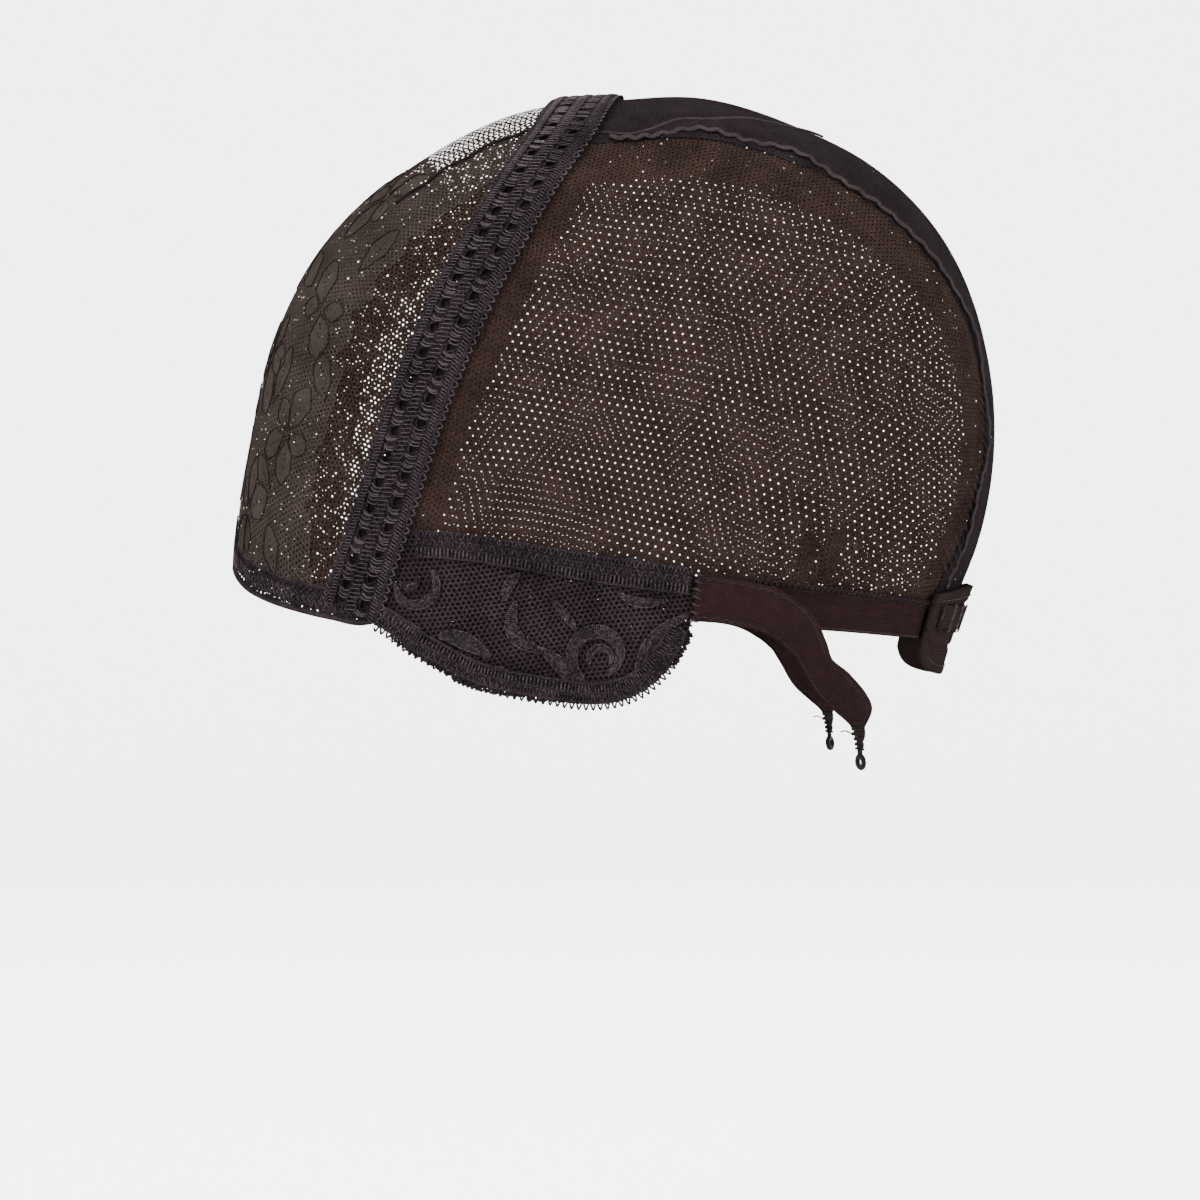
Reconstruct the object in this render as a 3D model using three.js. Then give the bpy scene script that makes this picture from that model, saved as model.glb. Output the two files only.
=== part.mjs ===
// A stretch-net wig cap with a lace front, in the shape that it has when worn. Millimetres, +Z up.
// The brow is at -Y, the nape at +Y and the wearer's left at +X.
// The origin is the inside of the crown, where the cap sits on a head.
import * as THREE from "three";

// The head form that every piece lies on: a rounded box-like oval about the axis through both ears.
const HALF_BREADTH = 76;
const SQUARENESS = 2.3;
const EAR_AXIS = new THREE.Vector3(0, 0, -83.2);

// Its outline in the middle plane: reach from the ear axis at each angle from straight up,
// counted towards the nape. Below the rim the reach only keeps the sides upright.
const PROFILE = [
  { angle: -180, reach: 150 },
  { angle: -150, reach: 136 },
  { angle: -128, reach: 116 },
  { angle: -111, reach: 102.2 },
  { angle: -100, reach: 94.8 },
  { angle: -90, reach: 90.4 },
  { angle: -75, reach: 88.2 },
  { angle: -55, reach: 86.3 },
  { angle: -35, reach: 83.9 },
  { angle: -15, reach: 84 },
  { angle: 0, reach: 83.2 },
  { angle: 15, reach: 86.8 },
  { angle: 30, reach: 89.4 },
  { angle: 45, reach: 93.4 },
  { angle: 60, reach: 95.4 },
  { angle: 80, reach: 94.9 },
  { angle: 105, reach: 94.8 },
  { angle: 118, reach: 95.2 },
  { angle: 130, reach: 101.5 },
  { angle: 150, reach: 124 },
  { angle: 180, reach: 150 },
];

// Cloth, as the heights of its inner and outer face above the form.
const NET = { inner: 0, outer: 1 };
const DOUBLED_NET = { inner: 0, outer: 1.4 };
const ELASTIC = { inner: 0, outer: 1.2 };
const OVERLAY = { inner: 1.5, outer: 2.3 };
const TAPE = { inner: 1.5, outer: 2.8 };
const INNER_LOOP = { inner: -1.8, outer: -0.5 };
const PANEL = { inner: 2, outer: 3.4 };
const PANEL_TAPE = { inner: 3.8, outer: 4.6 };
const SEAM_GAP = 0.45;

// Crown tape: the lean of its centre line towards the brow as it turns over the crown.
const TAPE_LINE = [
  { turn: 0, lean: 4 },
  { turn: 18, lean: 5.6 },
  { turn: 32, lean: 8.7 },
  { turn: 42, lean: 13.2 },
  { turn: 54, lean: 19.7 },
  { turn: 65, lean: 25.8 },
  { turn: 83, lean: 33.5 },
  { turn: 95, lean: 36.6 },
  { turn: 115, lean: 39.3 },
  { turn: 127, lean: 39.7 },
];
const TAPE_WIDTH = 15.4;
const TAPE_END_TURN = 126;
const TAPE_CELLS = 40;
const TAPE_STEPS = 60;
const TAPE_GAP = { length: 4.8, width: 3.2, pitch: 9.4, row: 3 };

// Rim of the cap: how far its pieces drop below the ear axis, at each bearing round from the brow.
const BROW = [
  { bearing: 0, top: 14.6, low: 19 },
  { bearing: 10, top: 15.8, low: 20 },
  { bearing: 21, top: 18.5, low: 22.6 },
  { bearing: 32, top: 21.3, low: 25.2 },
  { bearing: 40, top: 23.2, low: 27.2 },
  { bearing: 46, top: 24.4, low: 28.6 },
];
const EAR_TAB = [
  { bearing: 47, top: 16.4, low: 29.4 },
  { bearing: 54, top: 16.8, low: 33.6 },
  { bearing: 65, top: 18.4, low: 39.4 },
  { bearing: 80, top: 21.6, low: 42.8 },
  { bearing: 88, top: 23, low: 43.3 },
  { bearing: 95, top: 23.8, low: 41.9 },
  { bearing: 100, top: 24.2, low: 38.8 },
  { bearing: 103, top: 24.4, low: 35.2 },
  { bearing: 105, top: 24.5, low: 31.8 },
];
const NAPE = [
  { bearing: 105, top: 24.5, low: 31.8 },
  { bearing: 132, top: 25.3, low: 31.5 },
  { bearing: 180, top: 26.2, low: 31.8 },
];

// Middle panel behind the tape: its half width at each angle over the crown.
const CROWN_STRIP = [
  { angle: -10, half: 49 },
  { angle: 15, half: 48 },
  { angle: 34, half: 45.5 },
  { angle: 54, half: 41.5 },
  { angle: 64, half: 36.5 },
  { angle: 76, half: 31.5 },
  { angle: 90, half: 29 },
  { angle: 106, half: 33.5 },
  { angle: 120, half: 37 },
];
const STRIP_START = -8;
const STRIP_END = 113.5;
const STRIP_FOLD = { height: 0.9, waves: 9, from: 0.85, least: 0.4 };

// Scalloped lace: its width at the hem and at its upper edge, and the scallops of its sides and top.
const LACE = { lowBearing: 36.5, topAngle: -37, topHalf: 44, scallops: 7, depth: 0.1 };
const LACE_TOP = { scallops: 1.5, depth: 5, droop: 6 };

// Ear tab: where its front edge lies under the tape, and the trims sewn along its edges.
const TAB_START = { low: 45.8, top: 51 };
const TAB_END = 104.7;
const NAPE_START = 105.2;
const BINDING = { above: 1, below: 5.2, start: 57, end: 103.7 };
const EDGING = { width: 6, start: 50.5, end: 103.9, crowding: 0.75 };
const ROLL = { from: 0.85, height: 0.4 };

// Relief of the side net: soft waves all over, and pleats where the nape elastic gathers it.
const WAVES = { count: 3.5, height: 0.5, slant: 0.15 };
const PLEATS = { from: 122, to: 149, pitch: 5.4, height: 1.1, reach: 0.2, slant: 12 };

// Small pieces at the nape.
const LOOP = { bearing: 129, top: 16.2, low: 25, half: 1.75, lean: 2.2 };
const ADJUSTER = { bearing: 152.8, edgeTop: 24.8, middleTop: 22.6, edgeLow: 34.6, middleLow: 36.6 };
const ADJUSTER_TAPE = { bearing: 155.5, top: 26.2, low: 29.6, bars: 9, archHeight: 0.5 };

// Loose strap, the left one: where its middle runs, and how far its face has twisted.
const STRAP_WIDTH = 11;
const STRAP_THICKNESS = 1.1;
const STRAP_FACE = new THREE.Vector3(1, 0.14, -0.11);
const STRAP = [
  { station: 0, x: 75.5, y: 18.8, z: -123.9, twist: 0 },
  { station: 1, x: 74.3, y: 28.6, z: -125.2, twist: 0 },
  { station: 2, x: 73.6, y: 36.6, z: -127.3, twist: 6 },
  { station: 3, x: 73, y: 42.2, z: -130.9, twist: 24 },
  { station: 4, x: 72.2, y: 45.6, z: -135.4, twist: 48 },
  { station: 5, x: 71.2, y: 48, z: -140, twist: 58 },
  { station: 6, x: 70.2, y: 52, z: -144.9, twist: 42 },
  { station: 7, x: 69.4, y: 56.5, z: -150, twist: 50 },
  { station: 8, x: 69, y: 57.7, z: -155.4, twist: 70 },
];
const HOOK = { width: 7, plate: 4.5, shank: 1.6, eye: 2.1, hole: 0.8, length: 11, thickness: 1.2 };

const radians = THREE.MathUtils.degToRad;
const smoothstep = THREE.MathUtils.smoothstep;

// Rises from 0 to 1 between start and full, and falls back to 0 between fall and end.
const plateau = (at, start, full, fall, end) => smoothstep(at, start, full) * (1 - smoothstep(at, fall, end));

// A value from a table's column at a key, on a smooth curve that is level at both ends.
function lookup(table, key, column, at) {
  const last = table.length - 1;
  const place = THREE.MathUtils.clamp(at, table[0][key], table[last][key]);
  let row = 0;
  while (row < last - 1 && place > table[row + 1][key]) row += 1;
  const slope = (i) =>
    i === 0 || i === last
      ? 0
      : (table[i + 1][column] - table[i - 1][column]) / (table[i + 1][key] - table[i - 1][key]);
  const span = table[row + 1][key] - table[row][key];
  const t = (place - table[row][key]) / span;
  return (
    table[row][column] * (1 - t) ** 2 * (1 + 2 * t) +
    table[row + 1][column] * t ** 2 * (3 - 2 * t) +
    span * t * (1 - t) * (slope(row) * (1 - t) - slope(row + 1) * t)
  );
}

const reach = (angle) => lookup(PROFILE, "angle", "reach", angle);

// The point of the head form in a direction from the ear axis, lifted along the form's normal.
function press(direction, lift) {
  const d = direction.clone().normalize();
  const side = Math.max(Math.hypot(d.y, d.z), 1e-6);
  const angle = THREE.MathUtils.radToDeg(Math.atan2(d.y, d.z));
  const rho = reach(angle);
  const slope = (reach(angle + 0.5) - reach(angle - 0.5)) / radians(1);
  const p = SQUARENESS;
  const size = ((Math.abs(d.x) / HALF_BREADTH) ** p + (side / rho) ** p) ** (-1 / p);
  const r = side * size;
  const across = (Math.sign(d.x) * (Math.abs(d.x) * size) ** (p - 1)) / HALF_BREADTH ** p;
  const outward = r ** (p - 1) / rho ** p;
  const round = (-(r ** (p - 1)) * slope) / rho ** (p + 1);
  const unitY = d.y / side;
  const unitZ = d.z / side;
  const normal = new THREE.Vector3(
    across,
    outward * unitY + round * unitZ,
    outward * unitZ - round * unitY,
  ).normalize();
  return d.multiplyScalar(size).addScaledVector(normal, lift).add(EAR_AXIS);
}

// Three ways to name a direction from the ear axis: round the rim, over the crown, across the middle.
const atBearing = (bearing, drop) =>
  new THREE.Vector3(
    Math.sin(radians(bearing)) * Math.cos(radians(drop)),
    -Math.cos(radians(bearing)) * Math.cos(radians(drop)),
    -Math.sin(radians(drop)),
  );

const atTurn = (turn, lean) =>
  new THREE.Vector3(
    Math.sin(radians(turn)) * Math.cos(radians(lean)),
    -Math.sin(radians(lean)),
    Math.cos(radians(turn)) * Math.cos(radians(lean)),
  );

function atAngle(angle, x) {
  const share = 1 - Math.min(Math.abs(x) / HALF_BREADTH, 1) ** SQUARENESS;
  const r = reach(angle) * share ** (1 / SQUARENESS);
  return new THREE.Vector3(x, r * Math.sin(radians(angle)), r * Math.cos(radians(angle))).normalize();
}

// The direction that lies a distance beside a path of directions: to the right of its travel,
// seen from outside.
function beside(path, at, offset) {
  const here = press(path(at), 0);
  const tangent = press(path(at + 0.5), 0).sub(press(path(at - 0.5), 0));
  const outward = press(path(at), 1).sub(here);
  return here.addScaledVector(tangent.cross(outward).normalize(), offset).sub(EAR_AXIS).normalize();
}

const between = (from, to, share) => from.clone().lerp(to, share).normalize();

// A closed body from rows of points on its inner and outer face, whatever way round they are given.
function panel(columns, rows, point) {
  const position = [];
  for (const face of [0, 1])
    for (let row = 0; row <= rows; row += 1)
      for (let column = 0; column <= columns; column += 1)
        position.push(...point(column / columns, row / rows, face).toArray());
  const step = columns + 1;
  const under = step * (rows + 1);
  const index = [];
  const quad = (a, b, c, d) => index.push(a, b, c, a, c, d);
  for (let row = 0; row < rows; row += 1)
    for (let column = 0; column < columns; column += 1) {
      const a = row * step + column;
      quad(under + a, under + a + 1, under + a + 1 + step, under + a + step);
      quad(a, a + step, a + 1 + step, a + 1);
    }
  const edge = (a, b) => quad(a, b, under + b, under + a);
  const lastRow = rows * step;
  for (let column = 0; column < columns; column += 1) {
    edge(column, column + 1);
    edge(lastRow + column + 1, lastRow + column);
  }
  for (let row = 0; row < rows; row += 1) {
    edge((row + 1) * step, row * step);
    edge(row * step + columns, (row + 1) * step + columns);
  }
  return facingOut(position, index);
}

function facingOut(position, index) {
  const corner = (i) => new THREE.Vector3().fromArray(position, index[i] * 3);
  let volume = 0;
  for (let i = 0; i < index.length; i += 3) volume += corner(i).dot(corner(i + 1).cross(corner(i + 2)));
  const faces = volume < 0 ? index.toReversed() : index;
  const geometry = new THREE.BufferGeometry();
  geometry.setAttribute("position", new THREE.Float32BufferAttribute(position, 3));
  geometry.setIndex(faces);
  geometry.computeVertexNormals();
  return geometry;
}

const heightOf = (cloth, face) => (face === 0 ? cloth.inner : cloth.outer);
const mirrored = (side, vector) => new THREE.Vector3(vector.x * side, vector.y, vector.z);

const cap = new THREE.Group();
cap.name = "wig_cap";

function add(name, geometry, colour, roughness = 0.85, metalness = 0) {
  const material = new THREE.MeshStandardMaterial({ color: colour, roughness, metalness });
  const mesh = new THREE.Mesh(geometry, material);
  mesh.name = name;
  cap.add(mesh);
}

function addPair(name, build, colour, roughness, metalness) {
  add(`${name}_left`, build(1), colour, roughness, metalness);
  add(`${name}_right`, build(-1), colour, roughness, metalness);
}

const NET_BROWN = 0x50423c;
const LACE_BROWN = 0x433b37;
const TAPE_BROWN = 0x382d30;
const STRIP_BROWN = 0x352f31;
const ELASTIC_BROWN = 0x332626;
const ADJUSTER_BROWN = 0x473d3c;
const HOOK_BLACK = 0x141112;

const tapeLine = (turn) =>
  atTurn(turn, lookup(TAPE_LINE, "turn", "lean", Math.abs(turn)));
const rimLine = (table, column, inset = 0) => (bearing) =>
  atBearing(bearing, lookup(table, "bearing", column, Math.abs(bearing)) + inset);
const degreesFor = (distance) => THREE.MathUtils.radToDeg(distance / reach(90));

// Front net: from the hem back to the middle of the tape, which covers its edge.
const FRONT_END = { bearing: 45.5, turn: 117 };
function frontDirection(u, v) {
  const along = 2 * u - 1;
  const low = rimLine(BROW, "top", -degreesFor(SEAM_GAP))(FRONT_END.bearing * along);
  const high = beside(tapeLine, FRONT_END.turn * along, SEAM_GAP / 2);
  return between(low, high, v);
}
add(
  "front_net",
  panel(28, 9, (u, v, face) => press(frontDirection(u, v), heightOf(NET, face))),
  NET_BROWN,
);

// Front lace: a scalloped cloth over the middle of the front net.
function laceDirection(u, v) {
  const across = 2 * u - 1;
  const scallop = LACE.depth * Math.abs(Math.sin(Math.PI * LACE.scallops * v));
  const spread = across * (1 - LACE.depth + scallop);
  const low = rimLine(BROW, "top", -degreesFor(SEAM_GAP))(LACE.lowBearing * spread);
  const topScallop = LACE_TOP.depth * Math.abs(Math.sin(LACE_TOP.scallops * Math.PI * across));
  const topAngle = LACE.topAngle + topScallop - LACE_TOP.droop * across ** 2;
  const high = atAngle(topAngle, LACE.topHalf * spread);
  return between(low, high, v);
}
add(
  "front_lace",
  panel(14, 14, (u, v, face) => press(laceDirection(u, v), heightOf(OVERLAY, face))),
  LACE_BROWN,
);

// Brow hem: the net folded over itself, ending under the tape at both sides.
const HEM_END = 45;
add(
  "front_hem",
  panel(22, 1, (u, v, face) => {
    const bearing = HEM_END * (2 * u - 1);
    const line = between(rimLine(BROW, "low")(bearing), rimLine(BROW, "top")(bearing), v);
    return press(line, heightOf(ELASTIC, face));
  }),
  TAPE_BROWN,
);

// Side net: from the tab and the nape elastic up to the tape and the middle panel.
// Its columns start at these bearings and end at these turns of the tape or angles of the middle panel,
// and they stand closer where the net is gathered.
const SIDE_COLUMNS = [
  { column: 0, bearing: 51, turn: 108, angle: -12.5 },
  { column: 14, bearing: 112, turn: 36.5, angle: -12.5 },
  { column: 34, bearing: 153, turn: 36.5, angle: 113 },
];
const SIDE_ROWS = { count: 9, crowding: 1.3 };
const stripHalf = (angle) => lookup(CROWN_STRIP, "angle", "half", angle);

function sideDirection(u, v) {
  const [first, middle, last] = SIDE_COLUMNS;
  const column = u * last.column;
  const onTape = column <= middle.column;
  const share = onTape ? column / middle.column : (column - middle.column) / (last.column - middle.column);
  const [from, to] = onTape ? [first, middle] : [middle, last];
  const bearing = THREE.MathUtils.lerp(from.bearing, to.bearing, share);
  const turn = THREE.MathUtils.lerp(from.turn, to.turn, share);
  const angle = THREE.MathUtils.lerp(from.angle, to.angle, share);
  const table = bearing < NAPE[0].bearing ? EAR_TAB : NAPE;
  const low = rimLine(table, "top", -degreesFor(SEAM_GAP))(bearing);
  const high = onTape
    ? beside(tapeLine, turn, -SEAM_GAP / 2)
    : atAngle(angle, stripHalf(angle) + SEAM_GAP);
  return { direction: between(low, high, v), bearing };
}

function sideRelief(bearing, u, v) {
  const wave = WAVES.height * Math.sin(2 * Math.PI * WAVES.count * (v + WAVES.slant * u));
  const clearOfEdges = plateau(v, 0.04, 0.2, 0.8, 0.97) * plateau(u, 0.05, 0.2, 0.85, 0.98);
  const phase = (2 * Math.PI * (bearing + PLEATS.slant * v)) / PLEATS.pitch;
  const pleat = PLEATS.height * (0.5 + 0.5 * Math.sin(phase));
  const { from, to, pitch, reach: depth } = PLEATS;
  const gathered = plateau(bearing, from, from + pitch, to, to + pitch / 2);
  const atElastic = plateau(v, 0, 0.02, 0.3 * depth, depth);
  return wave * clearOfEdges + pleat * gathered * atElastic;
}

const sideNet = (side) =>
  panel(SIDE_COLUMNS[2].column, SIDE_ROWS.count, (u, v, face) => {
    const { direction, bearing } = sideDirection(u, v ** SIDE_ROWS.crowding);
    const lift = heightOf(NET, face) + sideRelief(bearing, u, v);
    return mirrored(side, press(direction, lift));
  });
addPair("side_net", sideNet, NET_BROWN);

// The angle over the crown of the middle panel's front edge, under the tape, at a distance from the middle.
function angleBehindTape(x) {
  const edge = (turn) => press(beside(tapeLine, turn, -SEAM_GAP), 0).sub(EAR_AXIS);
  let [near, far] = [0, TAPE_END_TURN / 2];
  while (far - near > 0.01) {
    const turn = (near + far) / 2;
    if (edge(turn).x < Math.abs(x)) near = turn;
    else far = turn;
  }
  const found = edge(near);
  return THREE.MathUtils.radToDeg(Math.atan2(found.y, found.z));
}

// Middle panel: doubled net from the tape to the nape, with a wandering fold along each long edge.
const STRIP_ACROSS = [-1, -0.9, -0.62, -0.31, 0, 0.31, 0.62, 0.9, 1];
const stripRows = STRIP_ACROSS.length - 1;
add(
  "crown_strip",
  panel(24, stripRows, (u, v, face) => {
    const across = STRIP_ACROSS[Math.round(v * stripRows)];
    const span = (angle) => stripHalf(angle) * across;
    const angle = THREE.MathUtils.lerp(angleBehindTape(span(STRIP_START)), STRIP_END, u);
    const behindTape = smoothstep(u, 0.07, 0.12);
    const ends = behindTape * (1 - smoothstep(u, 0.94, 0.99));
    const swell = 0.5 + 0.5 * Math.sin(STRIP_FOLD.waves * Math.PI * u);
    const fold = Math.abs(across) > STRIP_FOLD.from ? THREE.MathUtils.lerp(STRIP_FOLD.least, 1, swell) : 0;
    const cloth = THREE.MathUtils.lerp(NET.outer, DOUBLED_NET.outer, behindTape);
    const lift = face === 0 ? DOUBLED_NET.inner : cloth + STRIP_FOLD.height * fold * ends;
    return press(atAngle(angle, span(angle)), lift);
  }),
  STRIP_BROWN,
);

// Ear tab, the band over its joint with the net, and the edging round its lower edge.
const earTab = (side) =>
  panel(18, 4, (u, v, face) => {
    const start = THREE.MathUtils.lerp(TAB_START.low, TAB_START.top, v);
    const bearing = THREE.MathUtils.lerp(start, TAB_END, u);
    const line = between(rimLine(EAR_TAB, "low")(bearing), rimLine(EAR_TAB, "top")(bearing), v);
    return mirrored(side, press(line, heightOf(NET, face)));
  });
addPair("ear_tab", earTab, LACE_BROWN);

const tabBinding = (side) =>
  panel(14, 1, (u, v, face) => {
    const bearing = THREE.MathUtils.lerp(BINDING.start, BINDING.end, u);
    const offset = THREE.MathUtils.lerp(-BINDING.below, BINDING.above, v);
    const line = beside(rimLine(EAR_TAB, "top"), bearing, -offset);
    return mirrored(side, press(line, heightOf(OVERLAY, face)));
  });
addPair("tab_binding", tabBinding, TAPE_BROWN);

const tabEdging = (side) =>
  panel(22, 1, (u, v, face) => {
    const bearing = THREE.MathUtils.lerp(EDGING.start, EDGING.end, u ** EDGING.crowding);
    const line = beside(rimLine(EAR_TAB, "low"), bearing, -EDGING.width * v);
    return mirrored(side, press(line, heightOf(OVERLAY, face)));
  });
addPair("tab_edging", tabEdging, TAPE_BROWN);

// Nape elastic: round the back from tab to tab, its upper edge rolled.
const ELASTIC_ACROSS = [0, 0.8, 0.86, 1];
const elasticRows = ELASTIC_ACROSS.length - 1;
add(
  "nape_elastic",
  panel(28, elasticRows, (u, v, face) => {
    const bearing = THREE.MathUtils.lerp(NAPE_START, 360 - NAPE_START, u);
    const fromBrow = bearing > 180 ? bearing - 360 : bearing;
    const low = rimLine(NAPE, "low")(fromBrow);
    const high = rimLine(NAPE, "top")(fromBrow);
    const share = ELASTIC_ACROSS[Math.round(v * elasticRows)];
    const roll = face === 1 && share > ROLL.from ? ROLL.height : 0;
    return press(between(low, high, share), heightOf(ELASTIC, face) + roll);
  }),
  ELASTIC_BROWN,
);

// Small folded loop of tape inside the net, sewn in at the elastic.
const innerLoop = (side) =>
  panel(1, 5, (u, v, face) => {
    const bearing = LOOP.bearing + LOOP.lean * (v - 0.5) + LOOP.half * (2 * u - 1);
    const drop = THREE.MathUtils.lerp(LOOP.low, LOOP.top, v);
    return mirrored(side, press(atBearing(bearing, drop), heightOf(INNER_LOOP, face)));
  });
addPair("inner_loop", innerLoop, HOOK_BLACK);

// Adjuster: a wide tape over the nape with its lower end free, and a looped tape across it.
function adjusterDrop(across, v) {
  const bow = across ** 2;
  const top = THREE.MathUtils.lerp(ADJUSTER.middleTop, ADJUSTER.edgeTop, bow);
  const low = THREE.MathUtils.lerp(ADJUSTER.middleLow, ADJUSTER.edgeLow, bow ** 2);
  return THREE.MathUtils.lerp(low, top, v);
}
const roundNape = (half, across) => 180 - (180 - half) * across;
add(
  "adjuster_panel",
  panel(14, 4, (u, v, face) => {
    const across = 2 * u - 1;
    const line = atBearing(roundNape(ADJUSTER.bearing, across), adjusterDrop(across, v));
    return press(line, heightOf(PANEL, face));
  }),
  ADJUSTER_BROWN,
);
add(
  "adjuster_loops",
  panel(4 * ADJUSTER_TAPE.bars, 1, (u, v, face) => {
    const across = 2 * u - 1;
    const quarter = Math.round(u * 4 * ADJUSTER_TAPE.bars) % 4;
    const drop = THREE.MathUtils.lerp(ADJUSTER_TAPE.low, ADJUSTER_TAPE.top, v);
    const lift = heightOf(PANEL_TAPE, face) + (quarter < 2 ? 0 : ADJUSTER_TAPE.archHeight);
    return press(atBearing(roundNape(ADJUSTER_TAPE.bearing, across), drop), lift);
  }),
  ADJUSTER_BROWN,
);

// Loose strap: a flat elastic that leaves the tab and twists as it hangs.
const STRAP_STATIONS = STRAP.length - 1;
const strapValue = (column, at) => lookup(STRAP, "station", column, at);
const strapMiddle = (at) =>
  new THREE.Vector3(strapValue("x", at), strapValue("y", at), strapValue("z", at));

function strapFrame(at) {
  const [before, after] = [Math.max(at - 0.05, 0), Math.min(at + 0.05, STRAP_STATIONS)];
  const tangent = strapMiddle(after).sub(strapMiddle(before)).normalize();
  const outward = STRAP_FACE.clone().projectOnPlane(tangent).normalize();
  outward.applyAxisAngle(tangent, radians(strapValue("twist", at)));
  return { tangent, outward, width: tangent.clone().cross(outward) };
}

const strap = (side) =>
  panel(20, 1, (u, v, face) => {
    const { outward, width } = strapFrame(STRAP_STATIONS * u);
    const point = strapMiddle(STRAP_STATIONS * u)
      .addScaledVector(width, STRAP_WIDTH * (v - 0.5))
      .addScaledVector(outward, STRAP_THICKNESS * (face - 0.5));
    return mirrored(side, point);
  });
addPair("strap", strap, ELASTIC_BROWN);

// Hook: a flat plate with a shank and a small eye, sewn across the end of the strap.
function hookOutline() {
  const half = HOOK.width / 2;
  const eyeHeight = HOOK.eye - HOOK.length;
  const shape = new THREE.Shape();
  shape.moveTo(-half, 0);
  shape.lineTo(half, 0);
  shape.lineTo(half, -HOOK.plate / 2);
  shape.lineTo(HOOK.shank / 2, -HOOK.plate);
  const opening = Math.asin(HOOK.shank / 2 / HOOK.eye);
  shape.absarc(0, eyeHeight, HOOK.eye, Math.PI / 2 - opening, Math.PI / 2 + opening - 2 * Math.PI, true);
  shape.lineTo(-HOOK.shank / 2, -HOOK.plate);
  shape.lineTo(-half, -HOOK.plate / 2);
  const hole = new THREE.Path();
  hole.absarc(0, eyeHeight, HOOK.hole, 0, 2 * Math.PI, false);
  shape.holes.push(hole);
  return shape;
}

const strapHook = (side) => {
  const geometry = new THREE.ExtrudeGeometry(hookOutline(), {
    depth: HOOK.thickness,
    bevelEnabled: false,
    curveSegments: 10,
  });
  const { tangent, outward, width } = strapFrame(STRAP_STATIONS);
  geometry.translate(0, 0, -HOOK.thickness / 2);
  const turned = new THREE.Matrix4().makeBasis(width, tangent.clone().negate(), outward.clone().negate());
  geometry.applyMatrix4(turned);
  const start = strapMiddle(STRAP_STATIONS).addScaledVector(tangent, SEAM_GAP);
  geometry.translate(start.x, start.y, start.z);
  const position = Array.from(geometry.attributes.position.array);
  for (let i = 0; i < position.length; i += 3) position[i] *= side;
  return facingOut(position, [...position.keys()].slice(0, position.length / 3));
};
addPair("strap_hook", strapHook, HOOK_BLACK, 0.35, 0.1);

// Crown tape: a band over the crown from ear to ear, in two rows of cells set half a cell apart,
// each cell with a six-sided gap cut through it.
// For equal steps of turn, this gives the share of the tape's length that is reached, and the turn.
function turnsByDistance(steps) {
  const travelled = [0];
  const turnAt = (step) => TAPE_END_TURN * ((2 * step) / steps - 1);
  for (let step = 1; step <= steps; step += 1) {
    const length = press(tapeLine(turnAt(step)), 0).distanceTo(press(tapeLine(turnAt(step - 1)), 0));
    travelled.push(travelled[step - 1] + length);
  }
  return travelled.map((length, step) => ({ share: length / travelled[steps], turn: turnAt(step) }));
}
const TAPE_TURNS = turnsByDistance(TAPE_STEPS);

function tapePoint(along, offset, face) {
  const turn = lookup(TAPE_TURNS, "share", "turn", along / TAPE_CELLS);
  return press(beside(tapeLine, turn, offset), heightOf(TAPE, face));
}

function gapCorners(middle, offset) {
  const corners = [];
  for (let corner = 0; corner < 6; corner += 1) {
    const angle = (-Math.PI * corner) / 3;
    const along = middle + (TAPE_GAP.length / 2 / TAPE_GAP.pitch) * Math.cos(angle);
    corners.push(new THREE.Vector2(along, offset + (TAPE_GAP.width / 2) * Math.sin(angle)));
  }
  return corners;
}

function piercedTape() {
  const position = [];
  const push = (corner, face) => position.push(...tapePoint(corner.x, corner.y, face).toArray());
  const wall = (corners) => {
    corners.forEach((from, i) => {
      const to = corners[(i + 1) % corners.length];
      for (const [corner, face] of [[from, 0], [to, 0], [to, 1], [from, 0], [to, 1], [from, 1]])
        push(corner, face);
    });
  };
  const cell = (outline, gap) => {
    const corners = [...outline, ...gap];
    for (const [a, b, c] of THREE.ShapeUtils.triangulateShape(outline, gap.length ? [gap] : [])) {
      for (const i of [a, b, c]) push(corners[i], 1);
      for (const i of [c, b, a]) push(corners[i], 0);
    }
    if (gap.length) wall(gap);
  };
  const corner = (along, offset) => new THREE.Vector2(along, offset);
  const edge = TAPE_WIDTH / 2;
  for (let i = 0; i < TAPE_CELLS; i += 1)
    cell(
      [corner(i, -edge), corner(i + 1, -edge), corner(i + 1, 0), corner(i + 0.5, 0), corner(i, 0)],
      gapCorners(i + 0.5, -TAPE_GAP.row),
    );
  for (let i = 0.5; i < TAPE_CELLS - 1; i += 1)
    cell(
      [corner(i, 0), corner(i + 0.5, 0), corner(i + 1, 0), corner(i + 1, edge), corner(i, edge)],
      gapCorners(i + 0.5, TAPE_GAP.row),
    );
  for (const i of [0, TAPE_CELLS - 0.5])
    cell([corner(i, 0), corner(i + 0.5, 0), corner(i + 0.5, edge), corner(i, edge)], []);
  const rim = [];
  for (let i = 0; i <= TAPE_CELLS; i += 1) rim.push(corner(i, -edge));
  rim.push(corner(TAPE_CELLS, 0), corner(TAPE_CELLS, edge));
  for (let i = TAPE_CELLS - 0.5; i > 0; i -= 1) rim.push(corner(i, edge));
  rim.push(corner(0, edge), corner(0, 0));
  wall(rim);
  return facingOut(position, [...position.keys()].slice(0, position.length / 3));
}

add("crown_tape", piercedTape(), TAPE_BROWN);

export default cap;
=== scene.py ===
"""A stretch-net wig cap in the shape that it has when worn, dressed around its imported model.

Lengths are in millimetres and become metres where a mesh is made. Angles are in degrees. The brow is at
-Y, the nape at +Y and the wearer's left at +X. The origin is the inside of the crown.
"""

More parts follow.
